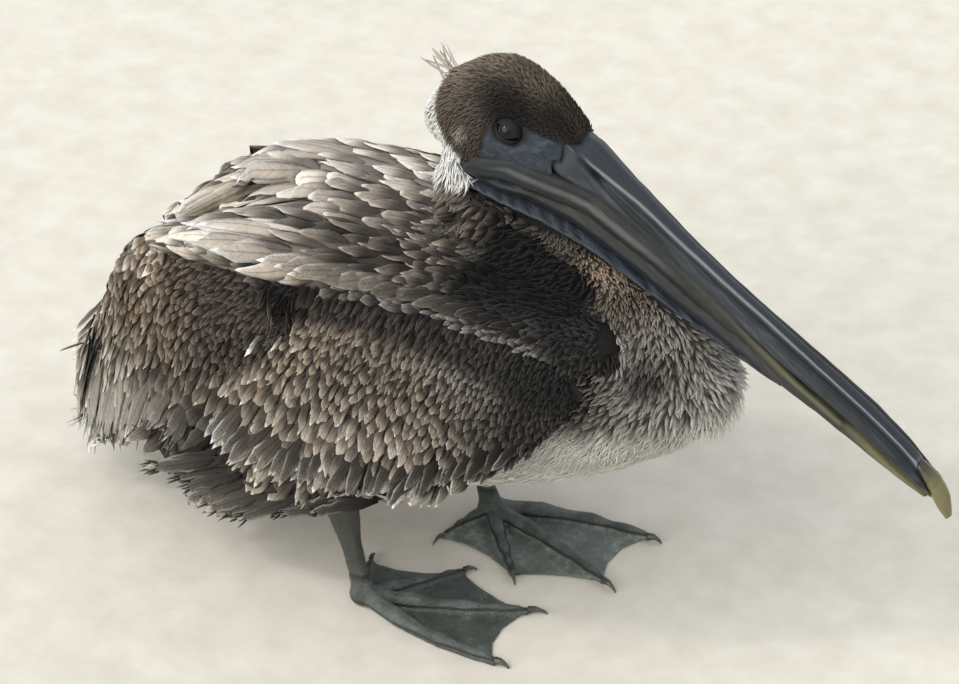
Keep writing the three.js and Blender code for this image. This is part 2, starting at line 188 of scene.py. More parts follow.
def stacked(names: Sequence[str]) -> tuple[Array, Array, Array]:
    """Several CAD nodes as one.

    Args:
        names: the nodes.

    Returns:
        Vertices, triangles, and each triangle's place in names.
    """
    points, triangles, owners = [], [], []
    count = 0
    for i, name in enumerate(names):
        p, t = node_arrays(name)
        points.append(p)
        triangles.append(t + count)
        owners.append(np.full(len(t), i))
        count += len(p)
    return np.concatenate(points), np.concatenate(triangles), np.concatenate(owners)


@dataclass
class Form:
    """A mesh being made, in the bird's millimetres: faces of several sizes, with values at the points."""

    points: Array
    faces: list[Array]
    values: dict[str, Array] = field(default_factory=dict)
    bake: Array | None = None

    def build(self, name: str, material: Material, slot: str) -> bpy.types.Object:
        """Makes the object, smooth shaded, and rides it on the bird's body.

        Args:
            name: the piece's name.
            material: its finish.
            slot: not used.

        Returns:
            The new object.
        """
        mesh = bpy.data.meshes.new(name)
        loops = np.concatenate([f.ravel() for f in self.faces]).astype(np.int32)
        sizes = np.concatenate([np.full(len(f), f.shape[1]) for f in self.faces])
        mesh.vertices.add(len(self.points))
        mesh.vertices.foreach_set("co", to_world(self.points).astype(np.float32).ravel())
        mesh.loops.add(len(loops))
        mesh.loops.foreach_set("vertex_index", loops)
        mesh.polygons.add(len(sizes))
        starts = np.concatenate(([0], np.cumsum(sizes)[:-1]))
        mesh.polygons.foreach_set("loop_start", starts.astype(np.int32))
        mesh.update(calc_edges=True)
        mesh.validate()
        mesh.shade_smooth()
        if self.bake is not None:
            layer = mesh.uv_layers.new(name="OFBake")
            layer.uv.foreach_set("vector", self.bake[loops].astype(np.float32).ravel())
        for key, value in self.values.items():
            self._store(mesh, key, value)
        made = bpy.data.objects.new(name, mesh)
        bpy.context.scene.collection.objects.link(made)
        made.data.materials.append(material)
        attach(made, "root")
        return made

    @staticmethod
    def _store(mesh: bpy.types.Mesh, key: str, value: Array) -> None:
        """Writes a number, a vector or a colour for each point.

        Args:
            mesh: the mesh.
            key: the name that the finishes read it by.
            value: one number, or three or four, for each point.
        """
        width = 1 if value.ndim == 1 else value.shape[1]
        kinds = {1: ("FLOAT", "value"), 3: ("FLOAT_VECTOR", "vector"), 4: ("FLOAT_COLOR", "color")}
        kind, place = kinds[width]
        attribute = mesh.attributes.new(key, kind, "POINT")
        attribute.data.foreach_set(place, value.astype(np.float32).ravel())


def remeshed(points: Array, triangles: Array, voxel: float) -> "Surface":
    """One closed skin round overlapping or nearly touching solids.

    Args:
        points: vertices in the bird's millimetres.
        triangles: the solids' triangles.
        voxel: the new mesh's fineness in millimetres.

    Returns:
        The largest closed surface.
    """
    mesh = bpy.data.meshes.new("rough")
    mesh.from_pydata((points * MM).tolist(), [], triangles.tolist())
    rough = bpy.data.objects.new("rough", mesh)
    bpy.context.scene.collection.objects.link(rough)
    modifier = rough.modifiers.new("fine", "REMESH")
    modifier.mode = "VOXEL"
    modifier.voxel_size = voxel * MM
    fine = rough.evaluated_get(bpy.context.evaluated_depsgraph_get()).to_mesh()
    points = read(fine.vertices, "co", 3) / MM
    quads = read(fine.loops, "vertex_index", 1, np.int32).reshape(-1, 4)
    rough.to_mesh_clear()
    bpy.data.objects.remove(rough)
    bpy.data.meshes.remove(mesh)
    return Surface(*largest_shell(points, quads))


def with_beads(points: Array, triangles: Array, beads: Sequence[tuple[float, ...]]) -> tuple[Array, Array]:
    """Adds balls on both sides of the head to a solid, to be melted into it by a fine remesh.

    Args:
        points: vertices in the bird's millimetres.
        triangles: the solid's triangles.
        beads: for each ball, its place along the bill, outwards and over it, and its radius.

    Returns:
        Vertices and triangles of the solid and the balls, which follow each other closely.
    """
    ball = bmesh.new()
    bmesh.ops.create_icosphere(ball, subdivisions=2, radius=1.0)
    dots = np.array([v.co for v in ball.verts])
    sides = np.array([[v.index for v in f.verts] for f in ball.faces])
    ball.free()
    rows = np.array(beads, float)
    for first, last in zip(rows[:-1], rows[1:]):
        for share in np.linspace(0, 1, 9):
            along, out, over, radius = first * (1 - share) + last * share
            for side in (-1, 1):
                centre = FOREHEAD + ALONG * along + OVER * over + np.array((0, side * out, 0))
                triangles = np.concatenate((triangles, sides + len(points)))
                points = np.concatenate((points, centre + dots * radius))
    return points, triangles


def largest_shell(points: Array, quads: Array) -> tuple[Array, Array]:
    """The part of a mesh with the most points.

    Args:
        points: its vertices.
        quads: its faces.

    Returns:
        The part's vertices and faces.
    """
    label = np.arange(len(points))
    while True:
        low = label[quads].min(axis=1)
        new = label.copy()
        np.minimum.at(new, quads.ravel(), np.repeat(low, 4))
        new = new[new]
        if np.array_equal(new, label):
            break
        label = new
    kept = label == np.bincount(label).argmax()
    number = np.cumsum(kept) - 1
    return points[kept], number[quads[kept[quads[:, 0]]]]


@dataclass
class Surface:
    """A mesh of four-sided faces that can be smoothed and pushed along its own normals."""

    points: Array
    quads: Array

    def normals(self) -> Array:
        """Averages the faces' normals, the larger faces counting more.

        Returns:
            Each point's normal.
        """
        a, b, c, d = (self.points[self.quads[:, i]] for i in range(4))
        across = np.cross(c - a, d - b)
        total = np.zeros_like(self.points)
        for i in range(4):
            for axis in range(3):
                total[:, axis] += np.bincount(self.quads[:, i], across[:, axis], len(self.points))
        return unit(total)

    def relaxed(self, rounds: int, share: float | Array = 0.5) -> "Surface":
        """Moves each point towards the middle of its neighbours.

        Args:
            rounds: how often.
            share: how far each time, for all points or for each.

        Returns:
            This surface.
        """
        ends = np.concatenate([self.quads[:, [i, (i + 1) % 4]] for i in range(4)])
        count = np.bincount(ends[:, 0], minlength=len(self.points)).astype(float)
        count += np.bincount(ends[:, 1], minlength=len(self.points))
        step = np.asarray(share).reshape(-1, 1)
        for _ in range(rounds):
            total = np.empty_like(self.points)
            for axis in range(3):
                x = self.points[:, axis]
                total[:, axis] = np.bincount(ends[:, 0], x[ends[:, 1]], len(x))
                total[:, axis] += np.bincount(ends[:, 1], x[ends[:, 0]], len(x))
            self.points = self.points + step * (total / count[:, None] - self.points)
        return self

    def pushed(self, height: Array) -> "Surface":
        """Moves each point along its normal by a height."""
        self.points = self.points + self.normals() * height[:, None]
        return self

    def build(
        self, name: str, finish: Material, slot: str, nodes: Sequence[str], values: dict[str, Array]
    ) -> None:
        """Makes the object in place of its CAD nodes and reports it.

        Args:
            name: the piece's name.
            finish: its material.
            slot: not used.
            nodes: the CAD nodes that it replaces.
            values: what its finish reads at each point.
        """
        made = Form(self.points, [self.quads], values).build(name, finish, slot)
        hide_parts(*nodes)
        LOG.info("%s: %d faces", name, len(self.quads))

    def tree(self) -> BVHTree:
        """A search tree of its faces."""
        return BVHTree.FromPolygons(self.points.tolist(), self.quads.tolist())


def ripples(points: Array, size: float, seed: int = 0) -> Array:
    """Soft noise from a few crossed waves.

    Args:
        points: places in millimetres.
        size: about how wide a wave is.
        seed: picks another pattern.

    Returns:
        Values about from -1 to 1.
    """
    dice = np.random.default_rng(SEED + seed)
    total = np.zeros(len(points))
    for _ in range(7):
        way = unit(dice.normal(size=3)) * (2 * math.pi / size) * dice.uniform(0.6, 1.7)
        total += np.sin(points @ way + dice.uniform(0, 6.28))
    return total / 3.2


# ---- Materials ----


class Wire:
    """A value or colour on its way through a material, so that sums of values are written as sums."""

    def __init__(self, nodes: "Nodes", socket: bpy.types.NodeSocket) -> None:
        """Wraps an output socket."""
        self.nodes = nodes
        self.socket = socket

    def _math(self, operation: str, *others: "Wire | float", swap: bool = False) -> "Wire":
        """Adds a Math node.

        Args:
            operation: what it does.
            others: the values after this one.
            swap: whether this value comes last instead.

        Returns:
            The result.
        """
        values = [self, *others]
        if swap:
            values.reverse()
        return self.nodes.node("ShaderNodeMath", {"operation": operation}, dict(enumerate(values)))

    def __add__(self, other: "Wire | float") -> "Wire":
        """The sum."""
        return self._math("ADD", other)

    __radd__ = __add__

    def __sub__(self, other: "Wire | float") -> "Wire":
        """The difference."""
        return self._math("SUBTRACT", other)

    def __rsub__(self, other: float) -> "Wire":
        """The difference, from a number."""
        return self._math("SUBTRACT", other, swap=True)

    def __mul__(self, other: "Wire | float") -> "Wire":
        """The product."""
        return self._math("MULTIPLY", other)

    __rmul__ = __mul__

    def __abs__(self) -> "Wire":
        """The size without its sign."""
        return self._math("ABSOLUTE")

    def clipped(self) -> "Wire":
        """The value held between 0 and 1."""
        settings = {"operation": "MULTIPLY", "use_clamp": True}
        return self.nodes.node("ShaderNodeMath", settings, {0: self, 1: 1.0})

    def wave(self) -> "Wire":
        """The sine."""
        return self._math("SINE")

    def step(self, low: float, high: float) -> "Wire":
        """A smooth step from 0 at low to 1 at high."""
        inputs = {"Value": self, "From Min": low, "From Max": high}
        return self.nodes.node("ShaderNodeMapRange", {"interpolation_type": "SMOOTHSTEP"}, inputs)

    def mixed(self, other: "Wire | tuple[float, ...]", share: "Wire | float") -> "Wire":
        """This colour with a share of another."""
        settings = {"data_type": "RGBA"}
        return self.nodes.node("ShaderNodeMix", settings, {0: share, 6: self, 7: other}, output=2)

    def scaled(self, value: "Wire | float") -> "Wire":
        """This colour or vector times a value."""
        settings = {"operation": "SCALE"}
        return self.nodes.node("ShaderNodeVectorMath", settings, {0: self, "Scale": value})

    def spread(self, factors: Triple) -> "Wire":
        """This vector with each axis scaled by its own number."""
        settings = {"operation": "MULTIPLY"}
        return self.nodes.node("ShaderNodeVectorMath", settings, {0: self, 1: factors})

    def parts(self) -> tuple["Wire", "Wire", "Wire"]:
        """This vector's three numbers."""
        node = self.nodes.node("ShaderNodeSeparateXYZ", {}, {0: self}).socket.node
        return tuple(Wire(self.nodes, out) for out in node.outputs)


class Nodes:
    """A material and its nodes."""

    def __init__(self, name: str) -> None:
        """Starts a material with a plain surface shader.

        Args:
            name: the material's name.
        """
        self.material = bpy.data.materials.new(name)
        self.material.use_nodes = True
        self.tree = self.material.node_tree
        self.tree.nodes.clear()
        self.shader = self.tree.nodes.new("ShaderNodeBsdfPrincipled")
        out = self.tree.nodes.new("ShaderNodeOutputMaterial")
        self.tree.links.new(self.shader.outputs[0], out.inputs["Surface"])

    def node(self, kind: str, settings: dict, inputs: dict, output: int | str = 0) -> Wire:
        """Adds a node.

        Args:
            kind: its type.
            settings: its properties, set first; stops gives a ramp's stops.
            inputs: socket names or numbers with wires or plain values.
            output: the output that is wanted.

        Returns:
            That output.
        """
        node = self.tree.nodes.new(kind)
        for key, value in settings.items():
            if key == "stops":
                self._ramp(node, value)
            else:
                setattr(node, key, value)
        for key, value in inputs.items():
            self.feed(node.inputs[key], value)
        return Wire(self, node.outputs[output])

    @staticmethod
    def _ramp(node: bpy.types.Node, stops: Sequence[tuple[float, tuple[float, ...]]]) -> None:
        """Sets a ramp's stops.

        Args:
            node: the ramp.
            stops: places from 0 to 1 with their linear colours.
        """
        elements = node.color_ramp.elements
        while len(elements) < len(stops):
            elements.new(1.0)
        for element, (place, colour) in zip(elements, stops):
            element.position = place
            element.color = colour

    def feed(self, socket: bpy.types.NodeSocket, value: object) -> None:
        """Links a wire to a socket or sets the socket's own value.

        Args:
            socket: the input.
            value: a wire or a plain value.
        """
        if isinstance(value, Wire):
            self.tree.links.new(value.socket, socket)
        else:
            socket.default_value = value

    def surface(self, **inputs: object) -> Material:
        """Sets the shader's sockets.

        Args:
            inputs: the sockets' wires or values, named with underscores for spaces.

        Returns:
            The material.
        """
        for key, value in inputs.items():
            self.feed(self.shader.inputs[key.replace("_", " ")], value)
        return self.material

    def stored(self, name: str, output: str = "Vector") -> Wire:
        """A value kept at the mesh's points."""
        return self.node("ShaderNodeAttribute", {"attribute_name": name}, {}, output=output)

    def place(self) -> Wire:
        """The place on the object, in metres."""
        return self.node("ShaderNodeTexCoord", {}, {}, output="Object")

    def ramp(self, value: Wire, *stops: tuple[float, str]) -> Wire:
        """A colour from a value, through places from 0 to 1 with their display colours."""
        settings = {"stops": [(place, rgba(code)) for place, code in stops]}
        return self.node("ShaderNodeValToRGB", settings, {0: value})

    def noise(
        self, at: Wire, scale: float, detail: float = 3.0, rough: float = 0.5, bend: float = 0.0
    ) -> Wire:
        """Noise from 0 to 1."""
        inputs = {"Vector": at, "Scale": scale, "Detail": detail, "Roughness": rough, "Distortion": bend}
        return self.node("ShaderNodeTexNoise", {}, inputs)

    def cells(self, at: Wire, scale: float, feature: str = "DISTANCE_TO_EDGE") -> Wire:
        """Cells, as the distance to their edges or their middles."""
        return self.node("ShaderNodeTexVoronoi", {"feature": feature}, {"Vector": at, "Scale": scale})

    def bump(self, height: Wire, strength: float, distance: float) -> Wire:
        """A normal from a height."""
        inputs = {"Height": height, "Strength": strength, "Distance": distance}
        return self.node("ShaderNodeBump", {}, inputs, output="Normal")


@dataclass(frozen=True)
class FeatherFinish:
    """Feather vanes: barbs that slant off the shaft, a paler edge, a fine shaft line and painted shade
    towards the root.
    """

    name: str
    roughness: float = 0.74
    streak: float = 0.34  # how far the barbs' tone changes
    relief: float = 0.65
    shaft: float = 0.35  # how dark the shaft line is
    # painted shade: how much darker a feather is painted near its root, where the feathers above would shade
    # it
    root_shade: float = 0.76  # how much darker a feather is near its root
    rim: float = 0.6  # where the paler edge starts, as a share of the half width
    root: tuple[float, float] = (0.3, 0.76)  # where along a feather the shade of those above it ends

    def build(self) -> Material:
        """Makes the material.

        Returns:
            The finished material.
        """
        n = Nodes(self.name)
        across, along, seed = n.stored("vane").parts()
        wide, far, _ = n.stored("barbs").parts()
        side = abs(across)
        slant = far - abs(wide) * 1.1
        lines = n.node("ShaderNodeCombineXYZ", {}, {0: slant * 1.3, 1: wide * 0.2, 2: seed * 31.0})
        barbs = n.noise(lines, 1.0, 2.0, 0.65)
        clumps = n.noise(lines.spread((0.3, 0.8, 1.0)), 1.0, 1.0)
        tone = (barbs + clumps) * self.streak * 1.6 + (1.0 - self.streak * 1.6)
        edge = side.step(self.rim, 1.0) * along.step(0.35, 0.7)
        tip = along.step(0.84, 0.99)
        washed = along.step(0.45, 1.0) * 0.2
        pale = (edge + tip + washed + (barbs - 0.5) * 0.8 * along.step(0.45, 0.9)).clipped()
        strength = n.stored("fringe", "Alpha")
        colour = n.stored("ground", "Color").mixed(n.stored("fringe", "Color"), pale * strength)
        line = (1.0 - side.step(0.02, 0.14)) * (1.0 - along.step(0.75, 0.98)) * self.shaft
        # painted shade: each feather is darker towards its root, as if shaded by the feathers lying over it
        root = along.step(*self.root) * self.root_shade + (1.0 - self.root_shade)
        height = barbs * 0.6 + clumps * 0.5 + (1.0 - side.step(0.0, 0.16)) * 0.6
        return n.surface(
            Base_Color=colour.scaled(tone * root * (1.0 - line)),
            Roughness=(barbs * 0.2 + (self.roughness - 0.1)),
            Normal=n.bump(height, self.relief, 0.0004),
            Specular_IOR_Level=0.12,
            Sheen_Weight=0.05,
            Sheen_Roughness=0.5,
        )


@dataclass(frozen=True)
class SkinFinish:
    """Skin under the plumage, with the same markings, and bare slate-blue skin on the face."""

    name: str = "skin"

    def build(self) -> Material:
        """Makes the material.

        Returns:
            The finished material.
        """
        n = Nodes(self.name)
        at = n.place()
        down = n.noise(at, 900.0, 3.0, 0.6)
        bare = n.stored("bare", "Fac")
        lit = bare.step(0.3, 1.0)
        pores = n.cells(at, 900.0, "F1")
        folds = n.noise(at.spread((1.0, 1.0, 1.6)), 160.0, 4.0, 0.55, 0.6)
        tint = n.ramp(folds, (0.25, "1c2228"), (0.5, "2d353e"), (0.75, "465059"))
        plumage = n.stored("ground", "Color").scaled(down * 0.7 + 0.35)
        height = (down * 0.5) * (1.0 - bare) + (folds * 0.8 + pores * 0.35) * bare
        return n.surface(
            Base_Color=plumage.mixed(tint.mixed(rgba("15181b"), 1.0 - lit), bare.step(0.0, 0.3)),
            Roughness=0.85 - bare * 0.33,
            Normal=n.bump(height, 0.55, 0.0008),
            Specular_IOR_Level=0.35,
        )


@dataclass(frozen=True)
class HornFinish:
    """Bill horn: long worn grooves and scratches, painted highlight lines and painted shade, and an olive
    edge at the mouth.
    """

    name: str
    dark: str
    middle: str
    light: str
    cap: str
    edge: str = "77734f"
    gloss: float = 0.36

    def build(self) -> Material:
        """Makes the material; the stored place is along, outwards and up square to the bill.

        Returns:
            The bill's material.
        """
        n = Nodes(self.name)
        at = n.stored("horn")
        grain = at.spread((0.02, 0.7, 0.7))
        long_grain = n.noise(grain, 1.0, 4.0, 0.6, 0.5)
        hair = n.noise(at.spread((0.035, 2.2, 2.2)), 1.0, 3.0, 0.7, 0.3)
        blotch = n.noise(at, 0.035, 3.0)
        stops = ((0.22, self.dark), (0.5, self.middle), (0.8, self.light))
        body = n.ramp(long_grain * 0.65 + blotch * 0.35, *stops)
        scratch = hair.step(0.6, 0.78) * n.noise(at, 0.09, 2.0).step(0.45, 0.65)
        worn = body.mixed(rgba(self.light), scratch * 0.55)
        lip = n.stored("lip", "Fac")
        capped = worn.mixed(rgba(self.cap), n.stored("shade", "Fac") * (long_grain * 0.7 + 0.5))
        tinted = capped.mixed(rgba(self.edge), lip * (long_grain * 0.8 + 0.5))
        # The stored marks run from -1 to 1: mostly painted shade below 0 and painted highlight above 0, with
        # a few dark and pale bands.
        trace = n.stored("trace", "Fac")
        # painted highlight: a pale grey mixed in where the marks are above 0
        lined = tinted.mixed(rgba("a9afb1"), trace.clipped() * (hair * 0.9 + 0.25))
        # painted shade: the colour darkened where the marks are below 0
        lined = lined.scaled(1.0 - (trace * -1.0).clipped() * 0.8)
        height = long_grain * 0.8 + hair * 0.45
        return n.surface(
            Base_Color=lined,
            Roughness=long_grain * 0.22 + self.gloss,
            Normal=n.bump(height, 0.5, 0.0006),
            Specular_IOR_Level=0.5,
        )


@dataclass(frozen=True)
class NailFinish:
    """The hook at the bill's tip and the claws: smooth horn, darker at the root."""

    name: str
    root: str
    tip: str

    def build(self) -> Material:
        """Makes the material; the stored share runs from root to tip.

        Returns:
            The nail's material.
        """
        n = Nodes(self.name)
        at = n.place()
        far = n.stored("far", "Fac")
        grain = n.noise(at, 300.0, 4.0, 0.6, 0.4)
        body = n.ramp(far + (grain - 0.5) * 0.35, (0.0, self.root), (0.5, self.tip), (1.0, self.tip))
        return n.surface(
            Base_Color=body.scaled(grain * 0.5 + 0.75),
            Roughness=grain * 0.25 + 0.25,
            Normal=n.bump(grain, 0.35, 0.0004),
            Coat_Weight=0.2,
        )


@dataclass(frozen=True)
class PouchFinish:
    """The folded pouch under the bill: thin blue-grey skin with long wrinkles."""

    name: str = "pouch_skin"

    def build(self) -> Material:
        """Makes the material.

        Returns:
            The finished material.
        """
        n = Nodes(self.name)
        at = n.stored("horn")
        folds = n.noise(at.spread((0.03, 0.5, 0.5)), 1.0, 4.0, 0.55, 1.0)
        spots = n.noise(at, 0.8, 3.0)
        body = n.ramp(folds * 0.75 + spots * 0.25, (0.25, "191e25"), (0.5, "29303a"), (0.78, "434c5a"))
        return n.surface(
            Base_Color=body,
            Roughness=folds * 0.2 + 0.4,
            Normal=n.bump(folds + spots * 0.3, 0.6, 0.001),
        )


@dataclass(frozen=True)
class LegFinish:
    """Leg and web skin: small scales, larger plates along the toes, dusty and grey-green, with painted
    highlights on the toes' tops, painted shade on their flanks and a painted sheen on the left web.
    """

    name: str = "leg_skin"

    def build(self) -> Material:
        """Makes the material; stored toe is 1 along the toes' tops and far runs out along them.

        Returns:
            The legs' material.
        """
        n = Nodes(self.name)
        at = n.place()
        toe = n.stored("toe", "Fac")
        far = n.stored("far", "Fac")
        scales = n.cells(at, 620.0)
        fine = n.cells(at, 1500.0)
        dust = n.noise(at, 70.0, 4.0, 0.6)
        web = n.noise(at.spread((1.0, 1.0, 0.4)), 230.0, 5.0, 0.65, 0.8)
        plates = abs((far * 0.9).wave()).step(0.05, 0.5)
        high = at.parts()[2].step(0.014, 0.03)
        body = n.ramp(dust * 0.55 + web * 0.45, (0.25, "2b302d"), (0.52, "474d49"), (0.8, "7b7f77"))
        ridge = body.mixed(rgba("34352d"), (toe * 0.7).clipped()).mixed(rgba("2b2b23"), high * 0.75)
        seam = 1.0 - scales.step(0.0, 0.09) * 0.35
        # painted shade: darker on the toes' flanks, in the groove beside each toe
        margin = toe.step(0.02, 0.3) * (1.0 - toe.step(0.5, 0.95))
        # painted sheen: the left foot's web is made up to nearly three times as light, for the sky's
        # reflection on it
        pale = at.parts()[1].step(0.0, 0.02) * (1.0 - toe.step(0.0, 0.3)) * (web + 0.7)
        # painted highlight: a pale blue-grey along the toes' tops
        lit = ridge.mixed(rgba("6f7a76"), toe.step(0.9, 1.0) * dust.step(0.3, 0.75) * 0.7)
        shade = lit.scaled(1.35 - seam * 0.45 - margin * 0.75).scaled(pale + 1.0)
        pebbled = scales.step(0.0, 0.25) * 0.8 + fine.step(0.0, 0.3) * 0.25
        height = pebbled * (0.45 + toe * 0.3) + web * 0.5 + plates * toe * 0.06
        return n.surface(
            Base_Color=shade,
            Roughness=dust * 0.3 + 0.2 + web * 0.15,
            Normal=n.bump(height, 0.7, 0.0008),
            Specular_IOR_Level=0.6,
        )


@dataclass(frozen=True)
class EyeFinish:
    """A wet dark brown eye with a black pupil."""

    name: str = "eyeball"

    def build(self) -> Material:
        """Makes the material; the stored share is the distance from the pupil's middle.

        Returns:
            The eyes' material.
        """
        n = Nodes(self.name)
        out = n.stored("far", "Fac")
        streaks = n.noise(n.place(), 900.0, 3.0)
        pupil = ((0.0, "050505"), (0.33, "050505"))
        iris = n.ramp(out, *pupil, (0.38, "080a0c"), (0.62, "0b0f13"), (0.7, "070708"), (1.0, "0e1013"))
        return n.surface(
            Base_Color=iris.scaled(streaks * 0.6 + 0.7),
            Roughness=0.06,
            Specular_IOR_Level=0.3,
        )


@dataclass(frozen=True)
class FloorFinish:
    """A plain pale floor."""

    name: str = "floor"

    def build(self) -> Material:
        """Makes the material.

        Returns:
            The finished material.
        """
        n = Nodes(self.name)
        speck = n.noise(n.place(), 35.0, 5.0, 0.6)
        body = n.ramp(speck, (0.3, "d8d2c6"), (0.7, "e6e1d6"))
        return n.surface(Base_Color=body, Roughness=0.9, Normal=n.bump(speck, 0.1, 0.001))


# ---- How the plumage lies and what colour it is ----


class Region(Enum):
    """The parts of the bird that are feathered in their own way, with the CAD nodes of each."""

    HEAD = ("head",)
    BODY = ("neck_upper", "neck_lower", "trunk", "thigh_right", "thigh_left")
    ARM = ("wing_right_arm", "wing_left_arm")
    FOREARM = ("wing_right_forearm", "wing_left_forearm")
    TERTIALS = ("wing_right_tertials", "wing_left_tertials")
    HAND = ("wing_right_hand", "wing_left_hand")
    TAIL = ("tail",)


@dataclass(frozen=True)
class Guide:
    """How feathers lie round one place: their way, length, width and two colours. y is outwards."""

    at: Triple
    way: Triple
    size: tuple[float, float]
    ground: str
    fringe: str
    hair: float = 0.0  # 0 is a closed vane, 1 is a loose plume


HEAD_GUIDES = [
    Guide((104, 0, 352), (-0.8, 0.05, 0.6), (4.8, 1.6), "3a332d", "5a5047"),
    Guide((92, 20, 350), (-0.85, 0.1, 0.35), (4.8, 1.6), "282420", "413a34"),
    Guide((77, 21, 349), (-0.9, 0.1, 0.1), (5.2, 1.6), "25211d", "3d3731"),
    Guide((84, 4, 365), (-0.95, 0, 0.2), (5.7, 1.7), "5d5349", "8a7d6f"),
    Guide((52, 0, 371), (-1, 0, 0), (7.1, 1.9), "6d6154", "95877a"),
    Guide((36, 9, 363), (-0.9, 0, -0.3), (7.6, 1.9), "776b5e", "a39789"),
    Guide((50, 22, 355), (-0.95, 0, -0.3), (6.6, 1.8), "51483f", "756b60"),
    Guide((64, 25, 352), (-0.85, 0, -0.5), (5.7, 1.7), "332d28", "4f4841"),
    Guide((47, 28, 336), (-0.7, 0, -0.7), (6.2, 1.7), "473e36", "685e53"),
    Guide((25, 24, 352), (-0.75, 0, -0.65), (7.6, 1.9), "61564a", "8b7f71"),
    Guide((30, 25, 328), (-0.3, 0, -0.95), (6.6, 1.8), "52483e", "75695c"),
    Guide((50, 27, 316), (-0.35, 0, -0.9), (5.7, 1.7), "483f37", "62574c"),
    Guide((5, 0, 350), (-0.45, 0, -0.9), (8.5, 1.9), "85786a", "bdb2a4"),
]
BODY_GUIDES = [
    Guide((10, 8, 300), (0.1, 0.1, -1), (8, 2), "e2ded6", "fbf9f4", 0.4),
    Guide((38, 22, 286), (-0.6, 0.3, -0.7), (9, 2.4), "5a5048", "8f857a", 0.4),
    Guide((30, 20, 300), (0.2, 0.3, -0.9), (8, 2.1), "8f877d", "bdb4a9", 0.4),
    Guide((10, 14, 272), (-0.9, 0.2, -0.3), (22, 8), "6d635a", "b3a99d", 0),
    Guide((32, 25, 271), (-0.85, 0.3, -0.35), (20, 7), "4c433b", "91867a", 0),
    Guide((52, 24, 272), (-0.8, 0.35, -0.4), (15, 5.4), "504741", "8e8279", 0),
    Guide((67, 28, 260), (-0.8, 0.35, -0.45), (11, 4.6), "635b56", "a89e97", 0),
    # The black shoulder patch beside the pouch: black feathers, with painted shade under the bill.
    Guide((83, 22, 266), (-0.75, 0.35, -0.5), (10, 4), "0e0d0d", "1c1b1b", 0),
    Guide((105, 28, 257), (-0.75, 0.35, -0.5), (9, 3.6), "0b0b0b", "161616", 0),
    Guide((120, 34, 248), (-0.7, 0.35, -0.6), (9, 3.4), "0b0b0b", "191919", 0),
    Guide((97, 20, 262), (-0.75, 0.35, -0.5), (9, 3.6), "0b0b0b", "161616", 0),
    Guide((98, 7, 268), (0.2, 0.4, -0.9), (7, 1.9), "655c51", "8a8174", 0.4),
    Guide((127, 12, 257), (0.15, 0.4, -0.9), (7, 1.9), "a08c78", "c5b3a1", 0.4),
    Guide((146, 22, 246), (0.05, 0.4, -0.9), (8, 2.1), "61564c", "8e857a", 0.4),
    Guide((150, 45, 222), (-0.5, 0.4, -0.75), (10, 2.8), "c0b6ac", "ffffff", 0.4),
    Guide((60, 48, 225), (-0.5, 0.4, -0.8), (12, 5), "3a3530", "5a524a"),
    Guide((148, 60, 205), (-0.6, 0.3, -0.75), (10, 3), "605a54", "d5ccbf", 0.4),
    Guide((140, 72, 190), (-0.65, 0.2, -0.7), (10, 3.2), "3e3a35", "817c74", 0.4),
    Guide((174, 36, 214), (-0.35, 0.25, -0.9), (11, 2.8), "312e2a", "6e6a63", 0.4),
    Guide((172, 54, 196), (-0.45, 0.15, -0.88), (12, 3), "857f78", "b5afa7", 0.4),
    Guide((186, 8, 226), (0.05, 0.3, -0.95), (11, 2.8), "847e77", "c2bdb4", 0.4),
    Guide((200, 25, 205), (-0.1, 0.1, -1), (13, 3), "7d7a73", "a5a29c", 0.4),
    Guide((208, 0, 210), (0.1, 0, -1), (14, 3), "ada7a1", "e0ddd6", 0.4),
    Guide((205, 15, 180), (-0.2, 0, -1), (26, 6), "d3cec6", "eeebe5", 1),
    # painted shade: the white plumes under the wing's edge are given grey
    Guide((160, 62, 172), (-0.6, 0, -0.8), (22, 6), "898881", "a09d9a", 1),
    Guide((185, 30, 150), (-0.6, 0, -0.8), (28, 6.5), "dad6ce", "f3f0ea", 1),
    Guide((150, 20, 130), (-0.85, 0, -0.4), (28, 7), "dcd8d0", "f3f0ea", 1),
    Guide((80, 70, 110), (-0.9, 0, -0.35), (26, 7), "d8d4cc", "f0ede7", 1),
    Guide((60, 0, 85), (-1, 0, -0.1), (28, 7.5), "dcd8d0", "f3f0ea", 1),
    Guide((0, 80, 110), (-0.95, 0, -0.2), (26, 7), "bdb6ac", "dcd6cd", 1),
    Guide((-60, 40, 80), (-0.95, 0, 0.1), (28, 8), "9d9489", "c2baaf", 1),
    Guide((-160, 30, 95), (-0.95, 0, 0.1), (30, 8), "857b70", "aba196", 0.9),
    Guide((-60, 10, 250), (-1, 0, -0.05), (52, 19), "cabdaf", "ffffff"),
    Guide((-20, 8, 254), (-1, 0, 0.05), (40, 14), "887c72", "e4d8ca"),
    Guide((-130, 5, 222), (-0.95, 0, -0.3), (52, 20), "dfd5c6", "ffffff"),
    Guide((-175, 10, 200), (-0.85, 0, -0.5), (40, 16), "c2b7a8", "ffffff"),
    Guide((-225, 8, 125), (-0.6, 0, -0.8), (34, 10), "4d443b", "93877a"),
    Guide((-25, 66, 105), (-0.35, 0, -0.95), (14, 5), "a39a8e", "c9c1b6", 1),
    Guide((-15, 50, 100), (-0.3, 0, -1), (14, 5), "b7afa4", "d8d2c8", 1),
]
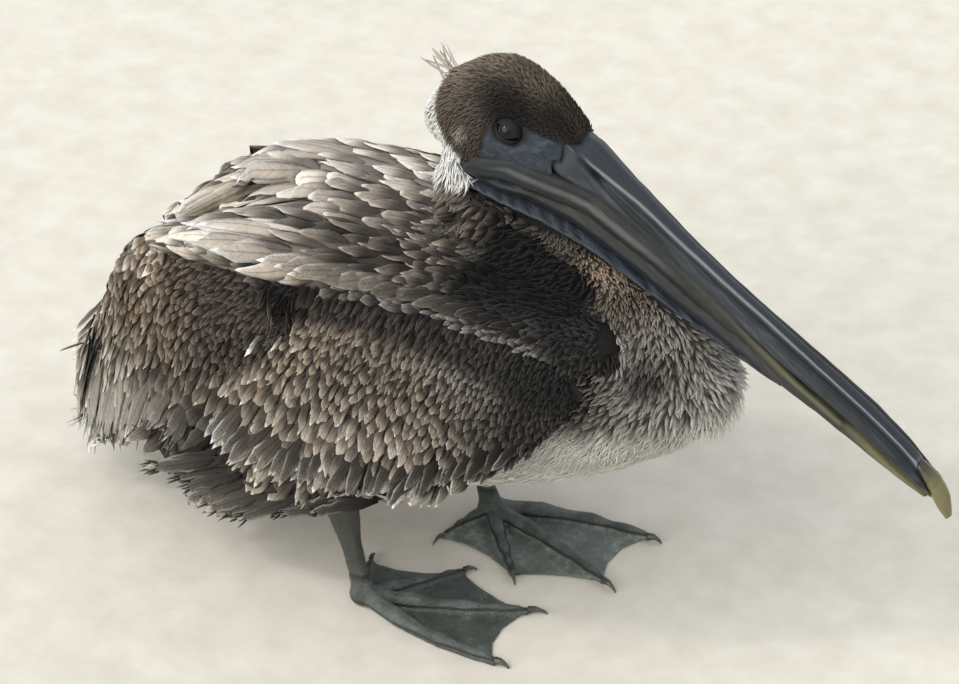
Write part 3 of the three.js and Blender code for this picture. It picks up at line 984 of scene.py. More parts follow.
ARM_GUIDES = [
    # painted shade: the near-black pocket under the shoulder feathers
    Guide((-56, 75, 222), (-0.9, 0.1, -0.35), (14, 5), "0b0a09", "1c1917"),
    # Dark guides at the front: the black shoulder patch, with painted shade under the bill.
    Guide((154, 50, 226), (-0.75, 0.2, -0.65), (7, 3.2), "2b2826", "4d4945"),
    Guide((136, 66, 240), (-0.8, 0.15, -0.55), (8, 3.6), "211f1e", "403d3b"),
    Guide((122, 38, 246), (-0.9, 0.2, -0.3), (8, 3.4), "0b0b0b", "151515"),
    Guide((100, 66, 244), (-0.9, 0.15, -0.35), (10, 4.2), "191817", "3a3735"),
    Guide((90, 34, 252), (-0.95, 0.1, -0.1), (11, 4.6), "0b0b0b", "171616"),
    Guide((76, 66, 248), (-0.93, 0.15, -0.3), (14, 5.2), "131211", "302d2a"),
    Guide((60, 80, 237), (-0.9, 0.1, -0.35), (11, 4.2), "5f5a54", "c4bdb5"),
    Guide((110, 79, 233), (-0.85, 0.1, -0.45), (9, 3.8), "423f3c", "8a8581"),
    Guide((0, 80, 233), (-0.9, 0.1, -0.35), (15, 5), "544d47", "a1988e"),
    Guide((45, 44, 253), (-0.97, 0.1, -0.15), (24, 8), "5d534d", "c7b9a8"),
    Guide((42, 66, 250), (-0.94, 0.12, -0.32), (24, 7.8), "554c45", "bbafa2"),
    Guide((40, 18, 253), (-1, 0.03, 0), (30, 10.5), "685d53", "beb2a5"),
    Guide((5, 38, 253), (-0.98, 0.08, -0.1), (34, 11), "544a41", "a69b8e"),
    Guide((0, 68, 249), (-0.95, 0.1, -0.3), (36, 11), "4e463e", "aa9f93"),
    Guide((-38, 38, 251), (-0.98, 0.03, -0.12), (46, 13.5), "484138", "9c9286"),
    Guide((-45, 70, 244), (-0.97, 0.03, -0.22), (46, 13.5), "cdbdad", "ffffff"),
    Guide((-10, 16, 254), (-1, 0, 0), (44, 15), "5f5750", "bcb3a6"),
    Guide((-60, 15, 248), (-1, 0, -0.1), (56, 18), "c0b3a6", "ffffff"),
    Guide((-84, 55, 245), (-0.98, 0, -0.16), (50, 15), "7b7368", "f9f9f9"),
    Guide((-85, 28, 244), (-0.98, 0, -0.2), (60, 20), "d6c9ba", "ffffff"),
    Guide((-112, 62, 234), (-0.985, 0, -0.15), (44, 14), "e2d6c6", "ffffff"),
    Guide((-120, 30, 230), (-0.97, 0, -0.25), (56, 19), "b3a89c", "f9f9f9"),
    Guide((-150, 57, 210), (-0.96, 0, -0.28), (42, 13), "c2b6a5", "ffffff"),
]
FOREARM_GUIDES = [
    Guide((148, 84, 214), (-0.5, 0.2, -0.85), (7, 3), "201d1b", "47423d"),
    Guide((127, 88, 210), (-0.55, 0.2, -0.82), (8, 3.4), "24211f", "4d4945"),
    Guide((118, 94, 192), (-0.4, 0.1, -0.9), (9.5, 4), "252220", "57524c"),
    Guide((95, 98, 185), (-0.38, 0.1, -0.91), (12, 4.6), "443e38", "968d86"),
    Guide((88, 88, 218), (-0.5, 0.3, -0.82), (8.5, 4), "605b55", "cac0b6"),
    Guide((74, 99, 178), (-0.34, 0, -0.93), (16, 5.6), "796f65", "f1e8d9"),
    Guide((37, 94, 200), (-0.42, 0.1, -0.9), (12, 4.6), "61574d", "bbafa1"),
    Guide((40, 102, 180), (-0.32, 0, -0.94), (18, 6), "7e7166", "f1e5d3"),
    Guide((42, 103, 152), (-0.3, 0, -0.95), (29, 8.4), "a6998a", "ffffff"),
    Guide((-8, 90, 205), (-0.44, 0.12, -0.88), (12, 4.6), "6b5f53", "cbbdaf"),
    Guide((-10, 102, 178), (-0.38, 0, -0.92), (21, 6.6), "807568", "f6e8d8"),
    Guide((-8, 104, 150), (-0.34, 0, -0.93), (34, 9), "9a8d80", "ffffff"),
    Guide((5, 102, 125), (-0.36, 0, -0.92), (38, 10.5), "6a635a", "e0dacf"),
    Guide((75, 103, 150), (-0.32, 0, -0.94), (25, 7.6), "56524a", "ded9cd"),
    Guide((112, 97, 165), (-0.38, 0, -0.92), (15, 5.4), "2f2c29", "726c65"),
    Guide((-45, 90, 195), (-0.5, 0, -0.86), (15, 4.8), "928271", "fffbe1"),
    Guide((-70, 96, 162), (-0.5, 0, -0.85), (28, 7.4), "86796b", "fff4e2"),
    Guide((-70, 94, 130), (-0.52, 0, -0.84), (40, 10.5), "8c8275", "fdf6e9"),
    Guide((-98, 89, 106), (-0.62, 0, -0.78), (44, 11.5), "2c2a25", "696561"),
    Guide((-120, 86, 150), (-0.55, 0, -0.82), (30, 8.6), "665b50", "d0c3b3"),
]
TERTIALS_GUIDES = [
    # painted shade: the dark pocket where the forearm meets the rear lobe
    Guide((-60, 82, 222), (-0.8, 0.1, -0.6), (12, 4), "221f1c", "4a443e"),
    Guide((-103, 74, 205), (-0.82, 0.05, -0.56), (13, 4), "3a332d", "7b7167"),
    Guide((-105, 66, 230), (-0.85, 0.05, -0.5), (14, 4.2), "4a3f35", "9b8a76"),
    Guide((-139, 63, 200), (-0.72, 0.05, -0.68), (14, 4.4), "50443a", "ac9a84"),
    Guide((-168, 52, 196), (-0.66, 0.05, -0.75), (16, 5), "ad937a", "fafafa"),
    Guide((-160, 34, 210), (-0.85, 0, -0.5), (36, 14), "b1a89b", "ded9cf"),
    Guide((-180, 24, 190), (-0.75, 0, -0.66), (30, 12), "dcd2c4", "ffffff"),
    Guide((-185, 53, 160), (-0.4, 0, -0.92), (20, 6), "796855", "e0cbb0"),
    Guide((-215, 44, 150), (-0.35, 0, -0.94), (24, 6.6), "847363", "f9e6ca"),
    Guide((-230, 38, 110), (-0.22, 0, -0.98), (36, 6.6), "a79c8d", "ffffff"),
    Guide((-91, 81, 170), (-0.5, 0, -0.86), (15, 4.6), "4b4039", "908375"),
    Guide((-144, 70, 160), (-0.4, 0, -0.92), (20, 5.4), "78685a", "d9c6af"),
    Guide((-116, 79, 143), (-0.4, 0, -0.92), (24, 6.4), "514a42", "ada69d"),
    Guide((-151, 74, 120), (-0.3, 0, -0.95), (34, 6.8), "605950", "beb6a9"),
    Guide((-191, 58, 114), (-0.22, 0, -0.97), (36, 6.6), "a79d8d", "ffffff"),
    Guide((-171, 68, 89), (-0.2, 0, -0.98), (44, 7), "777065", "dbd5cb"),
    Guide((-205, 56, 78), (-0.14, 0, -0.99), (46, 6.8), "c7c0b3", "ffffff"),
]
HAND_GUIDES = [
    Guide((-120, 86, 72), (-0.88, 0, -0.42), (36, 13), "5c5852", "a39f97"),
    Guide((-50, 94, 88), (-0.88, 0, -0.42), (34, 12), "2e2d2a", "4f4d48"),
    Guide((10, 96, 102), (-0.85, 0, -0.4), (28, 11), "312e2b", "54514c"),
]
TAIL_GUIDES = [
    Guide((-185, 0, 125), (-0.6, 0, -0.8), (34, 12), "3c3732", "625b53"),
    Guide((-235, 20, 60), (-0.5, 0, -0.86), (34, 12), "2c2825", "57504a"),
]
GUIDES = {
    Region.HEAD: HEAD_GUIDES,
    Region.BODY: BODY_GUIDES,
    Region.ARM: ARM_GUIDES,
    Region.FOREARM: FOREARM_GUIDES,
    Region.TERTIALS: TERTIALS_GUIDES,
    Region.HAND: HAND_GUIDES,
    Region.TAIL: TAIL_GUIDES,
}


@dataclass(frozen=True)
class Marking:
    """A patch with its own colours, from a mask over the bird."""

    regions: tuple[Region, ...]
    mask: Callable[[Array], Array]
    ground: str
    fringe: str


def bare_face(points: Array) -> Array:
    """1 on the bare skin between the eye, the gape and the root of the bill.

    Args:
        points: places in the bird's millimetres.

    Returns:
        The marking's strength there.
    """
    s, y, n = head_axes(points)
    top = np.interp(s, (-50, -46, -41, -32, -22, -10, 0, 8), (-42, -32, -23, -18, -15.5, -12, -9.5, -9))
    rear = np.interp(n, (-70, -57, -48, -42, -36, -28, -18), (-36, -35, -36, -39, -42, -45, -44))
    socket = 1 - 0.9 * bell(np.hypot(s + 35.5, (n + 23) * 1.1), 0, 15.5, 4)
    return ease(-1.2, 1.2, top - n) * ease(-1.2, 1.2, s - rear) * ease(8, 11, y) * socket * ease(-68, -64, n)


def nape(points: Array) -> Array:
    """1 on the white stripe down the back of the head and neck.

    Args:
        points: places in the bird's millimetres.

    Returns:
        The marking's strength there.
    """
    x, z = points[:, 0], points[:, 2]
    edge = np.interp(z, (284, 294, 311, 325, 336, 356), (50, 48, 39, 28, 20, 15))
    inside = edge + ripples(points, 9, 6) * 1.2 - x
    return ease(-2.0, 2.5, inside) * ease(286, 293, z) * (1 - ease(354, 361, z))


def ear(points: Array) -> Array:
    """1 on the pale ear patch."""
    s, y, n = head_axes(points)
    return (1 - ease(2, 7.5, np.hypot(s + 51, (n + 51.5) * 0.8))) * 0.8


def dark_brow(points: Array) -> Array:
    """1 on the nearly black feathers round the eye and over the bare face.

    Args:
        points: places in the bird's millimetres.

    Returns:
        The marking's strength there.
    """
    s, y, n = head_axes(points)
    near = bell(np.hypot((s + 41) / 19, (n + 17) / 12), 0, 1, 3) * ease(10, 15, y)
    strip = bell(n + 6 + 0.1 * s, 0, 6) * ease(-30, -15, s) * ease(4, 9, y)
    return np.clip(0.85 * near + 0.6 * strip, 0, 0.9)


def silver(points: Array) -> Array:
    """1 on the silver-grey strip along the shoulder's lower edge.

    Args:
        points: places in the bird's millimetres.

    Returns:
        The marking's strength there.
    """
    x, y, z = points[:, 0], np.abs(points[:, 1]), points[:, 2]
    high = 243 + 2 * ripples(points, 20, 8)
    return ease(70, 75, y) * (1 - ease(high - 4, high, z)) * ease(-25, 10, x) * (1 - ease(118, 135, x))


def black_shoulder(points: Array) -> Array:
    """1 on the black patch beside the pouch, on the shoulder's front: black feathers, darkened further by
    painted shade under the bill.

    Args:
        points: places in the bird's millimetres.

    Returns:
        The marking's strength there.
    """
    x, y, z = points[:, 0], np.abs(points[:, 1]), points[:, 2]
    inner = ease(0, 6, y - 8 - 0.2 * (x - 98) - 2 * ripples(points, 9, 16))
    return inner * ease(48, 66, x) * (1 - ease(126, 138, x)) * ease(232, 242, z) * (1 - ease(52, 72, y))


def left_back_light(points: Array) -> Array:
    """1 on the back and left shoulder, painted paler as painted light on the bird's left side only."""
    x, y, z = points.T
    return 0.9 * ease(10, 32, y) * (1 - ease(-15, 45, x)) * ease(218, 236, z) * ease(-150, -120, x)


def crease(points: Array) -> Array:
    """1 in the deep shade under the shoulder feathers.

    Args:
        points: places in the bird's millimetres.

    Returns:
        The marking's strength there.
    """
    x, z = points[:, 0], points[:, 2]
    stations = (-80, -66, -56, -42, -32, 0, 30, 65, 100, 130)
    line = np.interp(x, stations, (232, 218, 204, 202, 212, 217, 219, 216, 209, 204))
    return 0.85 * ease(-4, 5, z - line) * ease(-90, -66, x)


def white_front(points: Array) -> Array:
    """1 below the line where the streaked breast turns white.

    Args:
        points: places in the bird's millimetres.

    Returns:
        The marking's strength there.
    """
    x, z = points[:, 0], points[:, 2]
    line = np.interp(x, (60, 120, 145, 165, 190, 205), (174, 178, 180, 182, 186, 193))
    return 1 - ease(-9, 9, z - line - 4 * ripples(points, 22, 5))


MARKINGS = [
    Marking((Region.HEAD, Region.BODY), nape, "eeebe4", "ffffff"),
    Marking((Region.HEAD,), ear, "8a847c", "c4bdb4"),
    Marking((Region.HEAD,), dark_brow, "0c0b0b", "1e1b1a"),
    Marking((Region.ARM,), silver, "5d5b58", "aeaca8"),
    # painted light: a paler back and left shoulder
    Marking((Region.ARM, Region.BODY), left_back_light, "ded4c7", "fffaf2"),
    # black feathers, with painted shade under the bill
    Marking((Region.BODY, Region.ARM), black_shoulder, "09090a", "151515"),
    Marking((Region.FOREARM, Region.TERTIALS), crease, "161514", "2a2725"),
]


class Many:
    """Arrays that run side by side, one row for each place or feather."""

    def __getitem__(self, chosen: Array) -> Self:
        """The chosen rows only."""
        return type(self)(*(getattr(self, name)[chosen] for name in self.__dataclass_fields__))


@dataclass
class Lie(Many):
    """What the guides say at many places at once."""

    way: Array
    length: Array
    width: Array
    ground: Array
    fringe: Array
    hair: Array


def lie_at(points: Array, region: Region) -> Lie:
    """Blends a region's guides over places of that region, then lays its markings on top.

    Args:
        points: places in the bird's millimetres.
        region: the region that they are in.

    Returns:
        The lie of the plumage at each place.
    """
    guides = GUIDES[region]
    near = points.copy()
    side = np.where(near[:, 1] < 0, -1.0, 1.0)
    near[:, 1] = np.abs(near[:, 1])
    places = np.array([g.at for g in guides])
    gap = ((near[:, None, :] - places[None]) ** 2).sum(axis=2)
    weight = 1 / (gap + BLEND_CORE) ** BLEND_POWER
    weight /= weight.sum(axis=1, keepdims=True)
    way = unit(weight @ np.array([unit(np.array(g.way)) for g in guides]))
    way[:, 1] *= side
    ground = weight @ np.array([paint(g.ground) for g in guides])
    fringe = weight @ np.array([paint(g.fringe) for g in guides])
    hair = weight @ np.array([g.hair for g in guides])
    if region is Region.BODY:
        front = ease(90, 120, near[:, 0]) * ease(120, 135, near[:, 2])
        white = white_front(points) * front
        hair = np.where(front > 0.5, np.maximum(hair * 0.0, white), hair)
        # The white front is painted light grey: white feathers, greyed by painted shade.
        ground = ground + white[:, None] * (paint("c4c1b9") - ground)
        fringe = fringe + white[:, None] * (paint("dedbd4") - fringe)
    for marking in MARKINGS:
        if region in marking.regions:
            share = marking.mask(points)[:, None]
            ground = ground + share * (paint(marking.ground) - ground)
            fringe = fringe + share * (paint(marking.fringe) - fringe)
    sizes = weight @ np.array([g.size for g in guides])
    return Lie(way, sizes[:, 0], sizes[:, 1], ground, fringe, hair)


# ---- The skin ----


@dataclass
class Skin:
    """One skin for all the flesh, inside the solids by the coat's depth."""

    voxel: float = 2.6
    depth: tuple[float, ...] = (1.6, 5.0, 3.0, 2.6, 2.6, 1.4, 1.0)  # inside the solids, region by region
    crown: float = 3.2  # how far the back of the crown is raised
    hollow: float = 3.6  # how far the nape is sunk
    gape: float = 5.5  # how far the throat swells behind the mouth's corner
    brow: float = 6.0  # how far the forehead reaches over the bill

    def __post_init__(self) -> None:
        """Makes the surface, its regions and its unwrap."""
        names = [name for region in Region for name in region.value]
        owner = np.array([i for i, region in enumerate(Region) for _ in region.value])
        points, triangles, owners = stacked(names)
        solids = BVHTree.FromPolygons(points.tolist(), triangles.tolist())
        self.surface = remeshed(points, triangles, self.voxel).relaxed(10)
        nearest = [solids.find_nearest(Vector(place))[2] for place in self.surface.points]
        self.region = owner[owners[nearest]]
        depth = np.array(self.depth)[self.region]
        head = self.region == list(Region).index(Region.HEAD)
        self.bare = np.where(head, bare_face(self.surface.points), 0.0)
        s, y, n = head_axes(self.surface.points)
        x, z = self.surface.points[:, 0], self.surface.points[:, 2]
        crown = head * self.crown * bell(x, 52, 26) * ease(342, 364, z)
        hollow = self.hollow * nape(self.surface.points) * (1 - ease(16, 30, x))
        gape = self.gape * bell(np.linalg.norm((x - 39, y - 19, z - 301), axis=0), 0, 13, 4)
        over_bill = head * ease(-22, -3, s) * ease(-15, -8, n) * (1 - ease(9.5, 14.5, y))
        self.surface.pushed(crown - hollow + gape * (1 - self.bare) - depth * (1 - self.bare))
        self.surface.points += over_bill[:, None] * (self.brow * ALONG + 0.8 * OVER)
        self.surface.relaxed(3)
        self.replaced = names

    def build(self) -> bpy.types.Object:
        """Makes the skin's object and keeps its unwrap.

        Returns:
            The object.
        """
        points = self.surface.points
        ground = np.zeros((len(points), 3))
        for i, region in enumerate(Region):
            chosen = self.region == i
            if chosen.any():
                ground[chosen] = lie_at(points[chosen], region).ground
        ground = np.column_stack((ground * 0.5, np.ones(len(points))))
        form = Form(points, [self.surface.quads], {"ground": ground, "bare": self.bare})
        made = form.build("skin", SkinFinish().build(), "body_feathers")
        self._unwrap(made)
        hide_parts(*self.replaced)
        return made

    def _unwrap(self, made: bpy.types.Object) -> None:
        """Unwraps the skin by its own shape and keeps each point's place on the map.

        Args:
            made: the skin's object.
        """
        mesh = made.data
        mesh.uv_layers.new(name="OFBake")
        bpy.context.view_layer.objects.active = made
        made.select_set(True)
        bpy.ops.object.mode_set(mode="EDIT")
        bpy.ops.mesh.select_all(action="SELECT")
        bpy.ops.uv.smart_project(angle_limit=math.radians(70), island_margin=0.002)
        bpy.ops.object.mode_set(mode="OBJECT")
        made.select_set(False)
        self.flat = read(mesh.uv_layers["OFBake"].uv, "vector", 2).reshape(-1, 4, 2)


# ---- Feathers ----


@dataclass(frozen=True)
class Vane:
    """A feather's outline and section. The ring goes round the section as (across, up) pairs."""

    stations: tuple[float, ...]
    widths: tuple[float, ...]
    ring: tuple[tuple[float, float], ...]
    thick: float = 0.25
    camber: float = 0.14
    ragged: float = 0.06


RING_OF_3 = ((-1, 0), (0, 1), (1, 0))
RING_OF_4 = (*RING_OF_3, (0, -0.6))
RING_OF_6 = ((-1, 0), (-0.5, 0.7), (0, 1), (0.5, 0.7), (1, 0), (0, -0.6))
RING_OF_8 = ((-1, 0), (-0.66, 0.5), (-0.33, 0.8), (0, 1.5), (0.33, 0.8), (0.66, 0.5), (1, 0), (0, -0.5))


class Kind(Enum):
    """The forms that a feather can have."""

    VELVET = Vane((0, 0.35, 0.72, 1), (0.6, 1, 0.66, 0.06), RING_OF_3, 0.2, 0.2, 0.12)
    SMALL = Vane((0, 0.28, 0.58, 0.82, 1), (0.5, 0.95, 0.95, 0.56, 0.05), RING_OF_4, 0.26, 0.2, 0.1)
    ROUND = Vane((0, 0.12, 0.32, 0.55, 0.75, 0.9, 0.97, 1), (0.3, 0.6, 0.88, 1, 0.95, 0.66, 0.38, 0.06),
                 RING_OF_6, 0.3, 0.17, 0.1)
    POINTED = Vane((0, 0.1, 0.28, 0.48, 0.66, 0.82, 0.93, 1), (0.3, 0.62, 0.92, 1, 0.86, 0.56, 0.27, 0.04),
                   RING_OF_6, 0.3, 0.17, 0.1)
    FLIGHT = Vane((0, 0.06, 0.16, 0.28, 0.4, 0.52, 0.64, 0.75, 0.84, 0.91, 0.96, 1),
                  (0.12, 0.5, 0.85, 0.97, 1, 1, 0.98, 0.93, 0.84, 0.68, 0.44, 0.12),
                  RING_OF_8, 0.4, 0.1, 0.12)
    STRAND = Vane((0, 0.35, 0.7, 1), (0.8, 1, 0.7, 0.1), RING_OF_3, 0.35, 0.1, 0.15)

    def stations(self) -> Array:
        """The shares of the length at which the vane is measured, set out for a set of lines."""
        return np.array(self.value.stations)[None, :, None]


@dataclass
class Lines(Many):
    """Many feathers' middle lines: places and upward directions at the stations, with their looks."""

    middle: Array  # feathers x stations x 3
    up: Array
    width: Array  # half widths in millimetres
    ground: Array
    fringe: Array
    pale: Array  # how strong the fringe is
    spot: Array  # the root's place on the skin's unwrap
    patch: Array  # the patch's width there


def vanes(kind: Kind, lines: Lines, dice: np.random.Generator) -> Form:
    """Closed vanes along the feathers' middle lines.

    Args:
        kind: their form.
        lines: the middle lines, with as many stations as the form has.
        dice: the source of chance.

    Returns:
        All of them as one mesh.
    """
    vane = kind.value
    count, steps = lines.middle.shape[:2]
    stations = np.array(vane.stations)
    ring = np.array(vane.ring, float)
    around = len(ring)
    out, rise = ring[None, None].transpose(3, 0, 1, 2)
    along = unit(np.gradient(lines.middle, axis=1))
    side = unit(np.cross(along, lines.up))
    up = unit(np.cross(side, along))
    profile = np.array(vane.widths)[None, :] * lines.width[:, None]
    wear = vane.ragged * (0.4 + 1.4 * stations)
    left = profile * (1 + wear * dice.normal(size=profile.shape))
    right = profile * (1 + wear * dice.normal(size=profile.shape))
    across = out * np.where(out < 0, left[..., None], right[..., None])
    thin = vane.thick * (1 - 0.6 * stations)[None, :, None]
    lift = -vane.camber * out**2 * profile[..., None] + rise * thin
    points = lines.middle[:, :, None] + side[:, :, None] * across[..., None]
    points = points + up[:, :, None] * lift[..., None]
    points[..., 2] = np.maximum(points[..., 2], ABOVE_FLOOR)
    length = np.linalg.norm(np.diff(lines.middle, axis=1), axis=2).sum(axis=1)
    seed = dice.uniform(size=(count, 1, 1))
    each = (stations[None, :, None], seed, out)
    share, seed, place = (np.broadcast_to(value, across.shape) for value in each)
    patch = lines.patch[:, None, None, None] * np.stack((place * 0.5, share - 0.5), axis=-1)
    spot = lines.spot[:, None, None, :] + patch
    values = {
        "vane": np.stack((place, share, seed), axis=-1).reshape(-1, 3),
        "barbs": np.stack((across, share * length[:, None, None], seed), axis=-1).reshape(-1, 3),
        "ground": np.repeat(np.column_stack((lines.ground, np.ones(count))), steps * around, axis=0),
        "fringe": np.repeat(np.column_stack((lines.fringe, lines.pale)), steps * around, axis=0),
    }
    first = np.arange(count)[:, None, None] * steps * around
    row = np.arange(steps - 1)[None, :, None] * around
    turn = np.arange(around)[None, None, :]
    here, there = first + row + turn, first + row + (turn + 1) % around
    quads = np.stack((here, there, there + around, here + around), axis=-1).reshape(-1, 4)
    root = (first[:, :, 0] + np.arange(around)[::-1][None]).reshape(count, around)
    tip = (first[:, :, 0] + (steps - 1) * around + np.arange(around)[None]).reshape(count, around)
    return Form(points.reshape(-1, 3), [quads, root, tip], values, spot.reshape(-1, 2))


def merged(forms: Sequence[Form]) -> Form:
    """Joins feather meshes.

    Args:
        forms: the meshes, with the same values.

    Returns:
        All of them as one mesh.
    """
    points, faces, count = [], [], 0
    for form in forms:
        points.append(form.points)
        faces += [f + count for f in form.faces]
        count += len(form.points)
    values = {key: np.concatenate([form.values[key] for form in forms]) for key in forms[0].values}
    return Form(np.concatenate(points), faces, values, np.concatenate([form.bake for form in forms]))


@dataclass
class Rooted(Many):
    """Where feathers are planted."""

    places: Array
    normals: Array
    spots: Array  # their places on the skin's unwrap
    gap: Array
    lie: Lie


@dataclass
class Plot:
    """The skin as ground to plant feathers in: places, normals, regions and their map."""

    skin: Skin
    dice: np.random.Generator
    tries: float = 3.2  # how many roots are tried for each that would fit

    def __post_init__(self) -> None:
        """Splits the skin into triangles."""
        surface = self.skin.surface
        self.tree = surface.tree()
        self.normal = surface.normals()
        quads = surface.quads
        self.corners = np.concatenate((quads[:, [0, 1, 2]], quads[:, [0, 2, 3]]))
        flat = self.skin.flat
        self.flat = np.concatenate((flat[:, [0, 1, 2]], flat[:, [0, 2, 3]]))
        a, b, c = (surface.points[self.corners[:, i]] for i in range(3))
        self.area = np.linalg.norm(np.cross(b - a, c - a), axis=1) / 2
        self.region = self.skin.region[self.corners[:, 0]]
        spread = self.flat[:, 1:] - self.flat[:, :1]
        flat_area = np.abs(np.cross(spread[:, 0], spread[:, 1])) / 2
        self.scale = math.sqrt(flat_area.sum() / self.area.sum())

    def sown(
        self, region: Region, spacing: Callable[[Lie], Array], wanted: Callable[[Array], Array]
    ) -> Rooted:
        """Scatters roots over a region, no two nearer than their spacing.

        Args:
            region: where.
            spacing: gives the least distance from the lie of the plumage.
            wanted: tells which places take feathers.

        Returns:
            The roots.
        """
        faces = np.flatnonzero(self.region == list(Region).index(region))
        area = self.area[faces]
        trial = lie_at(self.skin.surface.points[self.corners[faces, 0]], region)
        gap = spacing(trial)
        demand = area / gap**2
        tries = int(demand.sum() * self.tries)
        picked = faces[self.dice.choice(len(faces), size=tries, p=demand / demand.sum())]
        mix = self.dice.dirichlet((1, 1, 1), size=tries)
        places = (self.skin.surface.points[self.corners[picked]] * mix[..., None]).sum(axis=1)
        normals = unit((self.normal[self.corners[picked]] * mix[..., None]).sum(axis=1))
        spots = (self.flat[picked] * mix[..., None]).sum(axis=1)
        good = wanted(places)
        places, normals, spots = places[good], normals[good], spots[good]
        lie = lie_at(places, region)
        gap = spacing(lie)
        return Rooted(places, normals, spots, gap, lie)[self._thinned(places, lie.way, gap)]

    @staticmethod
    def _thinned(places: Array, ways: Array, gap: Array) -> Array:
        """Keeps places in their order unless one that is kept already is too near.

        Roots may lie nearer to each other side by side than one behind the other.

        Args:
            places: the roots that are tried.
            ways: the directions that their feathers grow in.
            gap: the least distance side by side.

        Returns:
            The numbers of the roots that are kept.
        """
        cell = float(gap.max()) * STAGGER
        grid: dict[tuple[int, int, int], list[int]] = {}
        kept = []
        keys = np.floor(places / cell).astype(int).tolist()
        around = [(i, j, k) for i in (-1, 0, 1) for j in (-1, 0, 1) for k in (-1, 0, 1)]
        rows = np.column_stack((places, ways, gap**2)).tolist()
        less = 1 - 1 / STAGGER**2
        for index, (x, y, z, u, v, w, limit) in enumerate(rows):
            i, j, k = keys[index]
            clear = True
            for di, dj, dk in around:
                for other in grid.get((i + di, j + dj, k + dk), ()):
                    p, q, r = x - rows[other][0], y - rows[other][1], z - rows[other][2]
                    if p * p + q * q + r * r - less * (p * u + q * v + r * w) ** 2 < limit:
                        clear = False
                        break
                if not clear:
                    break
            if clear:
                grid.setdefault((i, j, k), []).append(index)
                kept.append(index)
        return np.array(kept, dtype=int)

    def grown(
        self, kind: Kind, places: Array, normals: Array, ways: Array,
        lengths: Array, lift: Array, soft: float,
    ) -> tuple[Array, Array]:
        """Walks each feather's middle line over the skin from its root.

        Args:
            kind: the feather's form, which gives the stations.
            places: roots.
            normals: the skin's normals there.
            ways: the directions to grow in.
            lengths: how long each feather is.
            lift: how far each tip stands off the skin.
            soft: how closely a feather follows the skin, from 0 to 1.

        Returns:
            The places and upward directions at the stations.
        """
        stations = kind.value.stations
        middle = np.empty((len(places), len(stations), 3))
        up = np.empty_like(middle)
        nearest = self.tree.find_nearest
        for i in range(len(places)):
            normal = Vector(normals[i])
            way = Vector(ways[i])
            way = (way - normal * way.dot(normal)).normalized()
            place = Vector(places[i]) - normal * 0.6
            middle[i, 0], up[i, 0] = place, normal
            for k in range(1, len(stations)):
                step = lengths[i] * (stations[k] - stations[k - 1])
                ahead = place + way * step
                ground, facing, _, _ = nearest(ahead)
                height = 0.35 + lift[i] * stations[k] ** 1.2
                past = max(0.0, facing.dot(way))
                follow = soft * max(0.0, 1 - 1.7 * past)
                ahead = ahead.lerp(ground + facing * height, follow)
                under = height * 0.6 - (ahead - ground).dot(facing)
                if under > 0 and past < 0.7:
                    ahead = ahead + facing * under
                way = (ahead - place).normalized()
                place = place + way * step
                if past < 0.5:
                    normal = normal.lerp(facing, 0.6)
                normal = (normal - way * normal.dot(way)).normalized()
                middle[i, k], up[i, k] = place, normal
        return middle, up

    def nearest_spot(self, places: Array) -> Array:
        """The map places of the skin nearest to some points."""
        faces = (self.tree.find_nearest(Vector(place))[2] for place in places)
        return np.array([self.skin.flat[face].mean(axis=0) for face in faces])


@dataclass(frozen=True)
class Coat:
    """One scattered coat: where, of what form, how dense and how loose."""

    name: str
    region: Region
    kind: Kind
    slot: str
    finish: str
    overlap: tuple[float, float] = (0.42, 0.8)  # least distance as shares of the length and the width
    lift: float = 0.09  # a tip's height over the skin as a share of the length
    soft: float = 0.75
    loose: float = 0.12  # how far the ways scatter
    strands: int = 1
    hair: tuple[float, float] = (-1.0, 2.0)  # the range of looseness that this coat takes
    size: tuple[float, float] = (0.0, 999.0)  # the range of length that this coat takes
    curl: float = 0.0  # how far a tip bends aside, as a share of the length
    slim: float = 1.0  # how wide the feathers are, as a share of what the guides say
    tilt: float = 0.2  # how unevenly the feathers turn about their shafts

    def spacing(self, lie: Lie) -> Array:
        """The least distance between roots."""
        return np.minimum(lie.length * self.overlap[0], lie.width * self.overlap[1])

    def wanted(self, places: Array) -> Array:
        """Leaves the bare face and what lies deep under the wings bare.

        Args:
            places: roots in the bird's millimetres.

        Returns:
            Whether each of them grows a feather.
        """
        x, y, z = places[:, 0], np.abs(places[:, 1]), places[:, 2]
        if self.region is Region.HEAD:
            return bare_face(places) < 0.2
        if self.region is Region.BODY:
            return (x > -110) & ((y < 55) | (z < 106) | (z > 222) | (x > 70)) | (y < 26)
        if self.region is Region.HAND:
            hem = np.interp(x, (-126, -96, -66, -40, -18, 10), (68, 64, 78, 92, 104, 114))
            return (z > hem) & (x > -128)
        if self.region is Region.TERTIALS:
            return z > np.interp(x, (-240, -220, -194, -170, -144, -130), (74, 68, 74, 92, 104, 60))
        return z > (80 if self.region is Region.TAIL else 0)


COATS = [
    Coat("coat_head", Region.HEAD, Kind.VELVET, "head_feathers", "head", (0.18, 0.46), 0.07, 0.85, 0.26,
         slim=0.72),
    Coat("coat_neck", Region.BODY, Kind.SMALL, "neck_feathers", "wing", (0.2, 0.55), 0.08, 0.7, 0.2,
         hair=(-1, 0.2), size=(0, 24)),
    Coat("coat_breast", Region.BODY, Kind.VELVET, "body_feathers", "breast", (0.12, 0.46), 0.07, 0.8, 0.15,
         hair=(0.2, 0.6), size=(0, 30), curl=0.06, slim=0.8),
    Coat("coat_mantle", Region.BODY, Kind.ROUND, "body_feathers", "wing", (0.2, 0.5), 0.05, 0.7, 0.14,
         hair=(-1, 0.2), size=(24, 999)),
    Coat("coat_belly", Region.BODY, Kind.STRAND, "body_feathers", "down", (0.13, 0.48), 0.02, 0.8, 0.07,
         strands=5, hair=(0.6, 2), curl=0.03, tilt=0.1),
]
